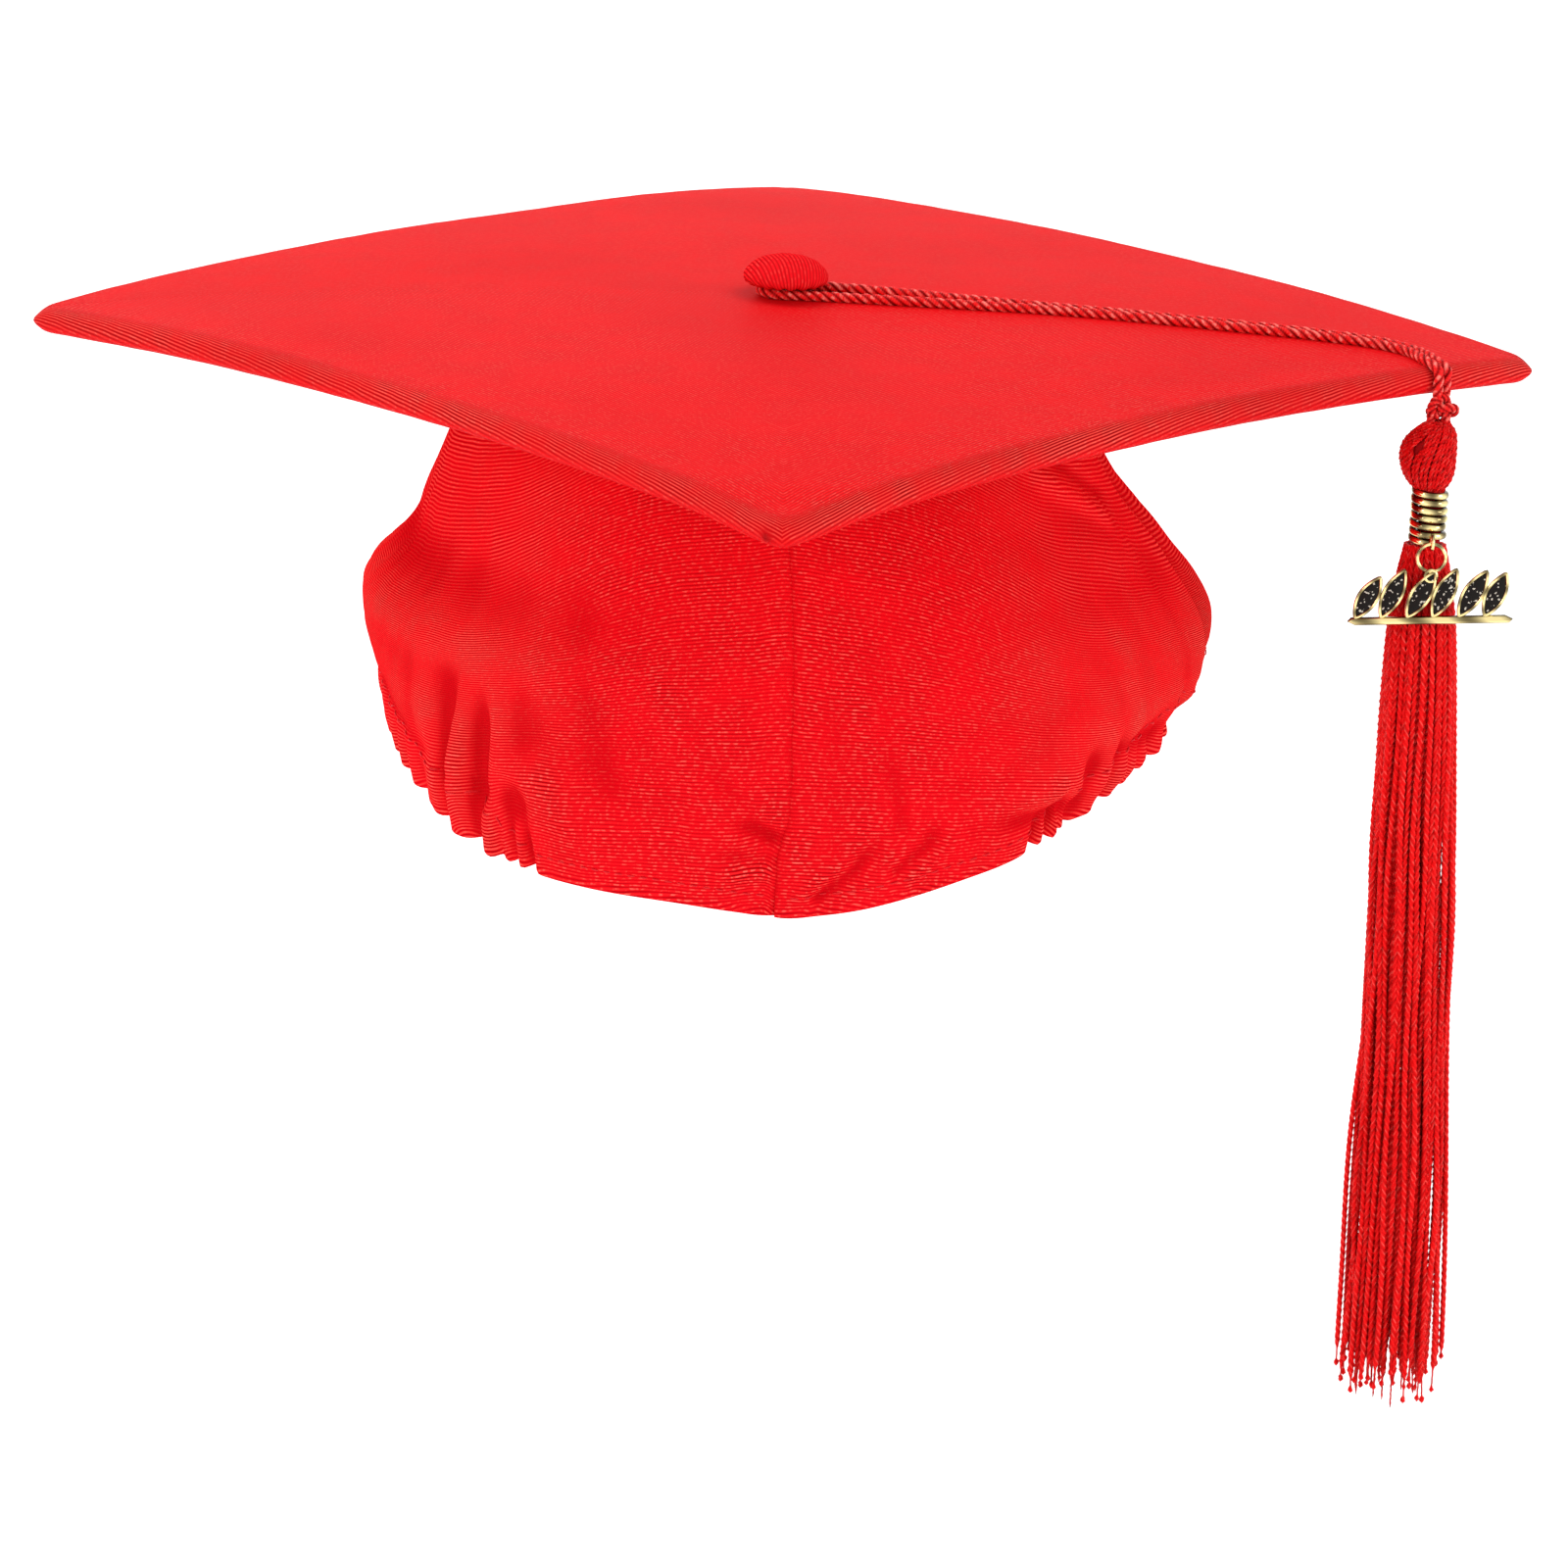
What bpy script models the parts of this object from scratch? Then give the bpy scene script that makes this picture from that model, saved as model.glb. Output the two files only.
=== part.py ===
"""Graduation cap: a covered square board on a soft skull cap, with a button, cord, tassel and charm.

Metres, +Z up, +X to the wearer's left, -Y is the front. The corners of the board lie on the X and Y axes.
The origin is the centre of the crown panel's flat inner face, where the top of the head rests.
"""
import math

import bmesh
import bpy
from mathutils import Vector

MM = 0.001
GAP = 0.3 * MM

# Board: a square whose faces drop from the centre towards the corners
BOARD_SIDE = 241.3 * MM
HALF_SIDE = BOARD_SIDE / 2
CORNER_RADIUS = HALF_SIDE * math.sqrt(2)
CORNER_BLUNTING = 1.5 * MM
SAG_SQUARE = 6.7 * MM
SAG_FOURTH = 2.1 * MM
COVER = 0.6 * MM
EDGE_INSET = 2.4 * MM
CORE_INSET = 2.5 * MM

# Heights at the centre of the board, from the crown panel upwards
CROWN = 1.0 * MM
UNDERSIDE_Z = CROWN + GAP
STIFFENER_Z = UNDERSIDE_Z + COVER + GAP
STIFFENER = 2.0 * MM
PADDING_Z = STIFFENER_Z + STIFFENER + GAP
PADDING = 1.2 * MM
TOP_Z = PADDING_Z + PADDING + GAP + COVER
HALF_BOARD = (TOP_Z - UNDERSIDE_Z) / 2

# Button and its rivet
SHANK_RADIUS = 1.5 * MM
SHANK_HOLE = SHANK_RADIUS + GAP
WASHER_RADIUS = 8.0 * MM
WASHER = 0.5 * MM
RECESS = WASHER + 2 * GAP
BUTTON_LIFT = 3.1 * MM
BUTTON_Z = TOP_Z + BUTTON_LIFT

# Skull cap: radii of the side and front sections against depth, 0 at the crown and 1 at the hem
CROWN_RADIUS = 60.5 * MM
SKULL_TOP_Z = -1.3 * MM
HEM_SIDE_Z = -85.2 * MM
HEM_FRONT_DROP = 23.5 * MM
HEM_BACK_DROP = 3.0 * MM
HEM_TILT = 4.6 * MM
TILT_FULL = math.radians(60)
TILT_FADES = math.radians(110)
SIDE_SECTION = (
    (0, 61), (0.15, 68), (0.32, 75), (0.55, 88.5), (0.66, 93.3), (0.78, 96.3), (0.9, 95), (1, 90.5),
)
FRONT_SECTION = (
    (0, 61), (0.15, 71), (0.32, 82), (0.55, 93), (0.66, 96), (0.78, 98), (0.9, 98), (1, 96),
)
SKULL_CLOTH = 0.6 * MM
FOLD_RADIUS = 1.05 * MM
FRONT_HEM = 5.0 * MM
CASING = 11.0 * MM
ELASTIC_HEIGHT = 7.0 * MM
ELASTIC = 0.6 * MM
GATHERS_START = math.radians(34)
CASING_FULL = math.radians(42)
ELASTIC_START = math.radians(46)

# Cord: one doubled cord, looped round the button's shank
CORD = 2.4 * MM
LOOP_RADIUS = 5.6 * MM
LEG_HALF_GAP = 1.35 * MM
CORD_LIFT = GAP + CORD / 2
ARM_ROUTE = (
    (10, -0.5), (44, -5), (71.6, -7.3), (99, -9.6), (122, -10.6), (133, -12.0), (140, -15.5), (143.7, -22.6),
)
HANG = Vector((145.9 * MM, -27.4 * MM, 0))
OUTWARD = Vector((1, -1, 0)).normalized()
ALONG_EDGE = Vector((1, 1, 0)).normalized()
KNOT_SHIFT = 0.9 * MM
DROP_TOP_Z = -2.4 * MM
DROP_BOTTOM_Z = -5.7 * MM

# Tassel, down from the knot
KNOT_Z = (-6.0 * MM, -10.7 * MM)
HEAD_Z = (-11.2 * MM, -26.1 * MM)
NECK_RADIUS = 2.4 * MM
WRAP_WIRE = 1.5 * MM
WRAP_RADIUS = 3.45 * MM
WRAP_Z = (-27.3 * MM, -38.6 * MM)
WRAP_TURNS = 6
SKIRT_TOP_Z = -40.4 * MM
SKIRT_BOTTOM_Z = -240.0 * MM
SKIRT_FLATNESS = 0.7
OUTER_BUNDLES = 10
INNER_BUNDLES = 4

# Charm: a laurel sprig with enamel leaves, hung by its own ring on the wire's eye
EYE_RADIUS = 1.55 * MM
EYE_WIRE = 0.8 * MM
EYE_FORWARD = 6.3 * MM
EYE_Z = -37.0 * MM
RING_RADIUS = 3.0 * MM
RING_WIRE = 0.8 * MM
RING_HANG = 0.45 * MM
CHARM_FORWARD = 6.7 * MM
CHARM = 1.5 * MM
STEM_Z = -54.8 * MM
STEM_HEIGHT = 1.7 * MM
STEM_LENGTH = 37.0 * MM
LEAVES = 6
LEAF_PITCH = 5.8 * MM
LEAF_LENGTH = 13.4 * MM
LEAF_HALF_WIDTH = 2.4 * MM
HANGER_RADIUS = 1.5 * MM
LEAF_RIM = 0.55 * MM
ENAMEL = 0.5 * MM
POCKET = 0.8 * MM


def clear_scene():
    for item in list(bpy.data.objects):
        bpy.data.objects.remove(item, do_unlink=True)


def collection(name):
    made = bpy.data.collections.new(name)
    bpy.context.scene.collection.children.link(made)
    return made


def material(name, colour, roughness, metallic=0.0):
    made = bpy.data.materials.new(name)
    made.use_nodes = True
    shader = made.node_tree.nodes["Principled BSDF"]
    shader.inputs["Base Color"].default_value = (*colour, 1)
    shader.inputs["Roughness"].default_value = roughness
    shader.inputs["Metallic"].default_value = metallic
    return made


def place(name, data, look, group):
    """A new object in the group, with one material."""
    made = bpy.data.objects.new(name, data)
    group.objects.link(made)
    data.materials.append(look)
    return made


def smooth(mesh, angle=40):
    mesh.shade_smooth()
    mesh.set_sharp_from_angle(angle=math.radians(angle))


def through(table, t):
    """A smooth curve through the table's (position, value) pairs, read at t."""
    last = len(table) - 1
    i = max(k for k in range(last) if table[k][0] <= t or k == 0)
    (t0, v0), (t1, v1) = table[i], table[i + 1]
    before, after = table[max(i - 1, 0)], table[min(i + 2, last)]
    width = t1 - t0
    slope0 = (v1 - before[1]) / (t1 - before[0]) * width
    slope1 = (after[1] - v0) / (after[0] - t0) * width
    u = (t - t0) / width
    return (
        (2 * u**3 - 3 * u**2 + 1) * v0
        + (u**3 - 2 * u**2 + u) * slope0
        + (-2 * u**3 + 3 * u**2) * v1
        + (u**3 - u**2) * slope1
    )


def step(low, high, t):
    """0 below low, 1 above high, smooth between."""
    u = min(max((t - low) / (high - low), 0), 1)
    return u * u * (3 - 2 * u)


def sag(x, y):
    reach = (x * x + y * y) / CORNER_RADIUS**2
    return SAG_SQUARE * reach + SAG_FOURTH * reach * reach


# ---------------------------------------------------------------- makers


def loft(name, rings, look, group, closed_rings=True, joined_ends=False, cap_first=False, flip=False):
    """Quads between successive rings of points, each ring open or closed."""
    count = len(rings[0])
    points = [p for ring in rings for p in ring]
    spans = count if closed_rings else count - 1
    pairs = len(rings) if joined_ends else len(rings) - 1
    faces = []
    for k in range(pairs):
        a, b = k * count, (k + 1) % len(rings) * count
        for i in range(spans):
            j = (i + 1) % count
            faces.append((a + i, b + i, b + j, a + j))
    if cap_first:
        faces.append(tuple(range(count)))
    if flip:
        faces = [tuple(reversed(f)) for f in faces]
    mesh = bpy.data.meshes.new(name)
    mesh.from_pydata(points, [], faces)
    smooth(mesh)
    return place(name, mesh, look, group)


def thicken(item, thickness, offset=-1.0):
    solid = item.modifiers.new("thickness", "SOLIDIFY")
    solid.thickness = thickness
    solid.offset = offset
    solid.use_even_offset = True


def turned(name, profile, look, group, centre=(0, 0, 0), steps=20, closed=False):
    """A profile of (radius, height) points, run down its outer side, turned about Z."""
    count = len(profile)
    edges = [(i, i + 1) for i in range(count - 1)]
    if closed:
        edges.append((count - 1, 0))
    mesh = bpy.data.meshes.new(name)
    mesh.from_pydata([(r, 0, z) for r, z in profile], edges, [])
    made = place(name, mesh, look, group)
    made.location = centre
    screw = made.modifiers.new("turn", "SCREW")
    screw.steps = screw.render_steps = steps
    screw.use_merge_vertices = True
    screw.merge_threshold = 0.00001
    screw.use_smooth_shade = True
    return made


def tube(name, route, radius, look, group, cyclic=False, radii=None):
    """A round rod along a route of points."""
    curve = bpy.data.curves.new(name, "CURVE")
    curve.dimensions = "3D"
    curve.bevel_depth = radius
    curve.bevel_resolution = 2
    curve.use_fill_caps = not cyclic
    spline = curve.splines.new("POLY")
    spline.points.add(len(route) - 1)
    for i, p in enumerate(route):
        spline.points[i].co = (*p, 1)
        if radii:
            spline.points[i].radius = radii[i] / radius
    spline.use_cyclic_u = cyclic
    return place(name, curve, look, group)


def plate(name, outline, thickness, look, group):
    """A flat outline of (x, z) points, upright in the XZ plane, centred on its thickness."""
    curve = bpy.data.curves.new(name, "CURVE")
    curve.dimensions = "2D"
    curve.fill_mode = "BOTH"
    curve.extrude = thickness / 2
    spline = curve.splines.new("POLY")
    spline.points.add(len(outline) - 1)
    for i, (x, z) in enumerate(outline):
        spline.points[i].co = (x, z, 0, 1)
    spline.use_cyclic_u = True
    made = place(name, curve, look, group)
    made.rotation_euler = (math.pi / 2, 0, 0)
    return made


def to_mesh(item, group):
    """Replaces a curve object by a welded mesh object of the same name."""
    bpy.context.view_layer.update()
    shown = item.evaluated_get(bpy.context.evaluated_depsgraph_get())
    mesh = bpy.data.meshes.new_from_object(shown)
    welded = bmesh.new()
    welded.from_mesh(mesh)
    bmesh.ops.remove_doubles(welded, verts=welded.verts, dist=0.000001)
    bmesh.ops.recalc_face_normals(welded, faces=welded.faces)
    welded.to_mesh(mesh)
    welded.free()
    name, look, matrix = item.name, item.data.materials[0], item.matrix_world.copy()
    bpy.data.objects.remove(item, do_unlink=True)
    mesh.materials.clear()
    made = place(name, mesh, look, group)
    made.matrix_world = matrix
    return made


def boolean(target, cutter, operation):
    cut = target.modifiers.new(operation.lower() + "_" + cutter.name, "BOOLEAN")
    cut.object = cutter
    cut.operation = operation
    cutter.hide_render = True
    cutter.display_type = "WIRE"


# ---------------------------------------------------------------- board


def square_outline():
    """Points round the board's outline, closer together near its corners, as seen from above."""
    fractions = (0, 0.012, 0.06, 0.25, 0.5, 0.75, 0.94, 0.988)
    quarters = [n * math.pi / 2 for n in range(4)]
    corners = [Vector((math.cos(a), math.sin(a))) * CORNER_RADIUS for a in quarters]
    points = []
    for k in range(4):
        for f in fractions:
            points.append(corners[k].lerp(corners[(k + 1) % 4], f))
    for k in range(4):
        corner = points[k * len(fractions)]
        corner.length -= CORNER_BLUNTING
    return points


OUTLINE = square_outline()


def round_ring(radius, z):
    """A circle on the domed level z, with as many points as the board's outline."""
    ring = []
    for p in OUTLINE:
        x, y = p.normalized() * radius
        ring.append((x, y, z - sag(x, y)))
    return ring


def square_ring(inset, z):
    """The board's outline, moved in by inset, on the domed level z."""
    scale = (HALF_SIDE - inset) / HALF_SIDE
    return [(p.x * scale, p.y * scale, z - sag(p.x * scale, p.y * scale)) for p in OUTLINE]


def edge_rings(z, towards):
    """Rings that turn the cover over the board's edge, from the level z to just short of mid-height."""
    rings = []
    for k in range(5):
        turn = math.pi / 2 * k / 4
        drop = (HALF_BOARD - GAP / 2) * (1 - math.cos(turn))
        rings.append(square_ring(EDGE_INSET * (1 - math.sin(turn)), z + towards * drop))
    return rings


def face_rings(z, first=()):
    """Rings over one face of a board layer, at radii and insets that all the layers share."""
    rings = [round_ring(r, z) for r in first]
    rings += [round_ring(r * MM, z) for r in (12, 30, 55)]
    return rings + [square_ring(inset * MM, z) for inset in (50, 28, 12, 5)]


def board(looks, group):
    top_rings = face_rings(TOP_Z, [SHANK_HOLE]) + edge_rings(TOP_Z, -1)
    top = loft("board_cover_top", top_rings, looks["fabric"], group)
    thicken(top, COVER)
    under_rings = face_rings(UNDERSIDE_Z) + edge_rings(UNDERSIDE_Z, 1)
    under = loft("board_cover_underside", under_rings, looks["fabric"], group, cap_first=True, flip=True)
    thicken(under, COVER)
    core_layer("board_stiffener", STIFFENER_Z, STIFFENER, looks["card"], group, recess=RECESS)
    core_layer("board_padding", PADDING_Z, PADDING, looks["wadding"], group)


def core_layer(name, z, thickness, look, group, recess=0.0):
    """A domed sheet inside the covers, with the rivet's hole and an optional recess for the washer."""
    upper = face_rings(z + thickness, [SHANK_HOLE]) + [square_ring(CORE_INSET, z + thickness)]
    if recess:
        bore = WASHER_RADIUS + GAP
        middle = [round_ring(SHANK_HOLE, z + recess), round_ring(bore, z + recess), round_ring(bore, z)]
    else:
        middle = [round_ring(SHANK_HOLE, z)]
    lower = middle + face_rings(z) + [square_ring(CORE_INSET, z)]
    loft(name, upper + list(reversed(lower)), look, group, joined_ends=True)


def button(looks, group):
    """A fabric-covered snap button on a rivet that holds it to the stiffener."""
    washer_z = STIFFENER_Z + GAP / 2
    washer = ring_section(SHANK_HOLE, WASHER_RADIUS, washer_z, WASHER)
    turned("retaining_washer", washer, looks["steel"], group, closed=True)
    back_z = BUTTON_Z + 0.9 * MM
    back = ring_section(SHANK_HOLE, 8.0 * MM, back_z, 0.5 * MM)
    turned("button_back", back, looks["steel"], group, closed=True)
    head_z = back_z + 0.5 * MM + GAP
    head = ((0, 1.0), (3.0, 1.0), (3.2, 0.7), (3.2, 0))
    profile = [(r * MM, head_z + z * MM) for r, z in head]
    profile += [(SHANK_RADIUS, head_z), (SHANK_RADIUS, washer_z), (0, washer_z)]
    turned("button_rivet", profile, looks["steel"], group, steps=16)
    dome = (
        (0, 5.6), (3, 5.45), (5.5, 4.9), (7.8, 3.8), (9.2, 2.5), (9.6, 1.4), (9.3, 0.6), (8.4, 0.1), (6.6, 0),
    )
    cover = turned("button_cover", [(r * MM, BUTTON_Z + z * MM) for r, z in dome], looks["fabric"], group)
    thicken(cover, 0.5 * MM)
    dome = ((0, 4.8), (3, 4.65), (5.3, 4.1), (7.3, 3.1), (8.4, 2.1), (8.75, 1.4), (8.6, 1.0))
    shell = turned("button_shell", [(r * MM, BUTTON_Z + z * MM) for r, z in dome], looks["steel"], group)
    thicken(shell, 0.35 * MM)


def ring_section(inner, outer, z, thickness):
    return ((outer, z + thickness), (outer, z), (inner, z), (inner, z + thickness))


# ---------------------------------------------------------------- skull cap


def hem_z(side, angle):
    """Height of the hem at an angle from the front, on the wearer's left (1) or right (-1)."""
    facing = math.cos(angle)
    drop = HEM_FRONT_DROP if facing > 0 else HEM_BACK_DROP
    tilt = step(0, TILT_FULL, angle) * (1 - step(TILT_FADES, math.pi, angle))
    return HEM_SIDE_Z - drop * facing * facing + side * HEM_TILT * tilt


def skull_radius(angle, depth):
    share = math.cos(angle) ** 2
    return (through(SIDE_SECTION, depth) * (1 - share) + through(FRONT_SECTION, depth) * share) * MM


def skull_point(side, angle, radius, z):
    return (side * radius * math.sin(angle), -radius * math.cos(angle), z)


def folded_section(side, angle):
    """(radius, height) points down a panel, round its hem fold, and up its turned-in edge."""
    bottom = hem_z(side, angle)
    fall = bottom - SKULL_TOP_Z
    section = [(skull_radius(angle, k / 12), SKULL_TOP_Z + fall * k / 12) for k in range(13)]
    rim = skull_radius(angle, 1) - FOLD_RADIUS
    for k in range(1, 4):
        turn = math.pi * k / 4
        section.append((rim + FOLD_RADIUS * math.cos(turn), bottom - FOLD_RADIUS * math.sin(turn)))
    height = FRONT_HEM + (CASING - FRONT_HEM) * step(GATHERS_START, CASING_FULL, angle)
    for share, inward in ((0, 2), (0.35, 2), (0.75, 2), (1, 0.95)):
        depth = 1 + height * share / fall
        section.append((skull_radius(angle, depth) - inward * FOLD_RADIUS, bottom + height * share))
    return section


def skull_cap(looks, group):
    rim_z = -0.55 * MM
    crown = ((0, 1.0), (20, 0.9), (40, 0.6), (CROWN_RADIUS / MM, 0.12))
    profile = [(r * MM, z * MM) for r, z in crown]
    profile += [(CROWN_RADIUS, rim_z), (40 * MM, -0.1 * MM), (30 * MM, 0), (0, 0)]
    turned("crown_panel", profile, looks["fabric"], group, steps=40)
    seam = 0.2 * MM / (CROWN_RADIUS * 1.4)
    spans = 22
    for name, side in (("skull_panel_left", 1), ("skull_panel_right", -1)):
        sections = []
        for k in range(spans + 1):
            angle = seam + (math.pi - 2 * seam) * k / spans
            sections.append([skull_point(side, angle, r, z) for r, z in folded_section(side, angle)])
        panel = loft(name, sections, looks["fabric"], group, closed_rings=False, flip=side > 0)
        thicken(panel, SKULL_CLOTH, offset=0)
    elastic_band(looks, group)


def elastic_band(looks, group):
    """The elastic inside the casing, round the back from one side of the front hem to the other."""
    sections = []
    spans = 28
    for k in range(spans + 1):
        angle = ELASTIC_START + 2 * (math.pi - ELASTIC_START) * k / spans
        folded = min(angle, 2 * math.pi - angle)
        bottom = hem_z(1 if angle < math.pi else -1, folded)
        fall = bottom - SKULL_TOP_Z
        section = []
        for share in (0, 0.5, 1):
            z = bottom + 0.8 * MM + ELASTIC_HEIGHT * share
            depth = (z - SKULL_TOP_Z) / fall
            section.append(skull_point(1, angle, skull_radius(folded, depth) - FOLD_RADIUS, z))
        sections.append(section)
    band = loft("elastic_band", sections, looks["elastic"], group, closed_rings=False)
    thicken(band, ELASTIC, offset=0)


# ---------------------------------------------------------------- cord


def board_top_z(x, y):
    return TOP_Z - sag(x, y)


def arm_centre(t):
    """The plan position of the cord's centre line, from the button, at 0, to the board's edge, at 1."""
    xs = [(p[0] * MM, (p[0] * MM, p[1] * MM)) for p in ((0, 0),) + ARM_ROUTE]
    lengths = [0.0]
    for (_, a), (_, b) in zip(xs, xs[1:]):
        lengths.append(lengths[-1] + (Vector(b) - Vector(a)).length)
    total = lengths[-1]
    table_x = [(s / total, p[0]) for s, (_, p) in zip(lengths, xs)]
    table_y = [(s / total, p[1]) for s, (_, p) in zip(lengths, xs)]
    return Vector((through(table_x, t), through(table_y, t)))


def leg_half_gap(t):
    return LEG_HALF_GAP + (LOOP_RADIUS - LEG_HALF_GAP) * (1 - step(0.0, 0.46, t))


def leg_route(side, count=22):
    """Points along one leg, from beside the button to the board's edge."""
    points = []
    for k in range(count + 1):
        t = 0.03 + 0.97 * k / count
        here = arm_centre(t)
        ahead = arm_centre(min(t + 0.01, 1)) - arm_centre(max(t - 0.01, 0))
        across = Vector((-ahead.y, ahead.x)).normalized()
        x, y = here + across * side * leg_half_gap(t)
        points.append(Vector((x, y, board_top_z(x, y) + CORD_LIFT)))
    return points


def cord_route():
    """The whole cord on the board: in along the front leg, round the shank, and out along the rear leg."""
    loop = []
    for k in range(1, 8):
        turn = -math.pi / 2 - math.pi * k / 8
        x, y = LOOP_RADIUS * math.cos(turn), LOOP_RADIUS * math.sin(turn)
        loop.append(Vector((x, y, board_top_z(x, y) + CORD_LIFT)))
    return list(reversed(leg_route(-1))) + loop + leg_route(1)


def cord(looks, group):
    tube("cord_loop", cord_route(), CORD / 2, looks["cord"], group)
    for name, side in (("cord_drop_front", -1), ("cord_drop_rear", 1)):
        top = HANG + ALONG_EDGE * (KNOT_SHIFT + side * LEG_HALF_GAP)
        route = [top + Vector((0, 0, DROP_TOP_Z + (DROP_BOTTOM_Z - DROP_TOP_Z) * k / 3)) for k in range(4)]
        tube(name, route, CORD / 2, looks["cord"], group)


def oval_profile(top, bottom, radius, flare=1.0, count=8):
    """(radius, height) points of an egg; flare over 1 moves its widest place down."""
    profile = []
    for k in range(count + 1):
        turn = math.pi * k / count
        z = (top + bottom) / 2 + (top - bottom) / 2 * math.cos(turn)
        r = radius * math.sin(turn) ** 0.8 * (1 + (flare - 1) * -math.cos(turn))
        profile.append((0 if k in (0, count) else r, z))
    return profile


# ---------------------------------------------------------------- tassel


def skirt_half_width(z):
    """Half the skirt's width at a height."""
    table = ((0, 4.9), (0.03, 6.2), (0.1, 8.0), (0.28, 9.2), (0.46, 10.1), (0.75, 11.2), (1, 12.2))
    return through(table, (z - SKIRT_TOP_Z) / (SKIRT_BOTTOM_Z - SKIRT_TOP_Z)) * MM


def skirt(looks, group):
    """Bundles of strands, fanned out below the neck."""
    rows = (
        ("strands_outer", OUTER_BUNDLES, 0.76, 0.0),
        ("strands_inner", INNER_BUNDLES, 0.36, math.pi / 4),
    )
    for name, count, reach, start in rows:
        for n in range(count):
            turn = start + 2 * math.pi * n / count
            bottom = SKIRT_BOTTOM_Z + 4 * MM * (n * 5 % 7) / 6
            route, radii = [], []
            for k in range(8):
                z = SKIRT_TOP_Z + (bottom - SKIRT_TOP_Z) * (k / 7) ** 1.6
                width = skirt_half_width(z)
                x, y = width * reach * math.cos(turn), width * reach * SKIRT_FLATNESS * math.sin(turn)
                route.append(HANG + Vector((x, y, z)))
                radii.append(0.145 * width)
            tube(f"{name}_{n + 1:02d}", route, 1.5 * MM, looks["strand"], group, radii=radii)


def wrap_route():
    """A wire helix round the neck, starting and ending at the front."""
    steps = 12
    top, bottom = WRAP_Z
    points = []
    for k in range(WRAP_TURNS * steps + 1):
        turn = -math.pi / 2 + 2 * math.pi * k / steps
        z = top + (bottom - top) * k / (WRAP_TURNS * steps)
        points.append(HANG + Vector((WRAP_RADIUS * math.cos(turn), WRAP_RADIUS * math.sin(turn), z)))
    return points


def circle(centre, radius, plane, count):
    """Points of a circle in the plane of two unit vectors."""
    across, up = plane
    turns = [2 * math.pi * k / count for k in range(count)]
    return [centre + across * radius * math.cos(a) + up * radius * math.sin(a) for a in turns]


UP = Vector((0, 0, 1))
RIGHT = Vector((1, 0, 0))
FORWARD = Vector((0, -1, 0))


def tassel(looks, group):
    centre = tuple(HANG)
    knot_centre = tuple(HANG + ALONG_EDGE * KNOT_SHIFT)
    turned("cord_knot", oval_profile(*KNOT_Z, 3.7 * MM), looks["cord"], group, knot_centre, steps=16)
    turned("tassel_head", oval_profile(*HEAD_Z, 6.4 * MM, flare=1.06), looks["strand"], group, centre)
    neck_top = HEAD_Z[1] - GAP
    neck_foot = SKIRT_TOP_Z + GAP
    neck = ((0, neck_top), (NECK_RADIUS, neck_top), (NECK_RADIUS, neck_foot), (0, neck_foot))
    turned("tassel_neck", neck, looks["strand"], group, centre, steps=16)
    tube("wire_wrap", wrap_route(), WRAP_WIRE / 2, looks["gold"], group)
    eye_centre = HANG + FORWARD * EYE_FORWARD + UP * EYE_Z
    eye_route = circle(eye_centre, EYE_RADIUS, (FORWARD, UP), 16)
    tube("wire_eye", eye_route, EYE_WIRE / 2, looks["gold"], group, cyclic=True)
    skirt(looks, group)


# ---------------------------------------------------------------- charm


def leaf_outline(root, lean, length, half_width):
    """A pointed leaf in the XZ plane, from its root, leaning from upright by an angle."""
    along = (math.sin(lean), math.cos(lean))
    across = (math.cos(lean), -math.sin(lean))
    points = []
    count = 7
    for side in (1, -1):
        shares = range(count) if side > 0 else range(count, 0, -1)
        for k in shares:
            share = k / count
            out = side * half_width * math.sin(math.pi * share) ** 0.8
            reach = share * length
            points.append(tuple(root[k] + along[k] * reach + across[k] * out for k in (0, 1)))
    return points


def leaves():
    """(root, lean, length) of each leaf, in charm coordinates, from one end of the stem to the other."""
    made = []
    for n in range(LEAVES):
        lean = math.radians(26 if n % 2 else 31)
        length = LEAF_LENGTH - (1.2 * MM if n in (0, LEAVES - 1) else 0)
        made.append((((n - 2.96) * LEAF_PITCH, 0.2 * MM), lean, length))
    return made


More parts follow.
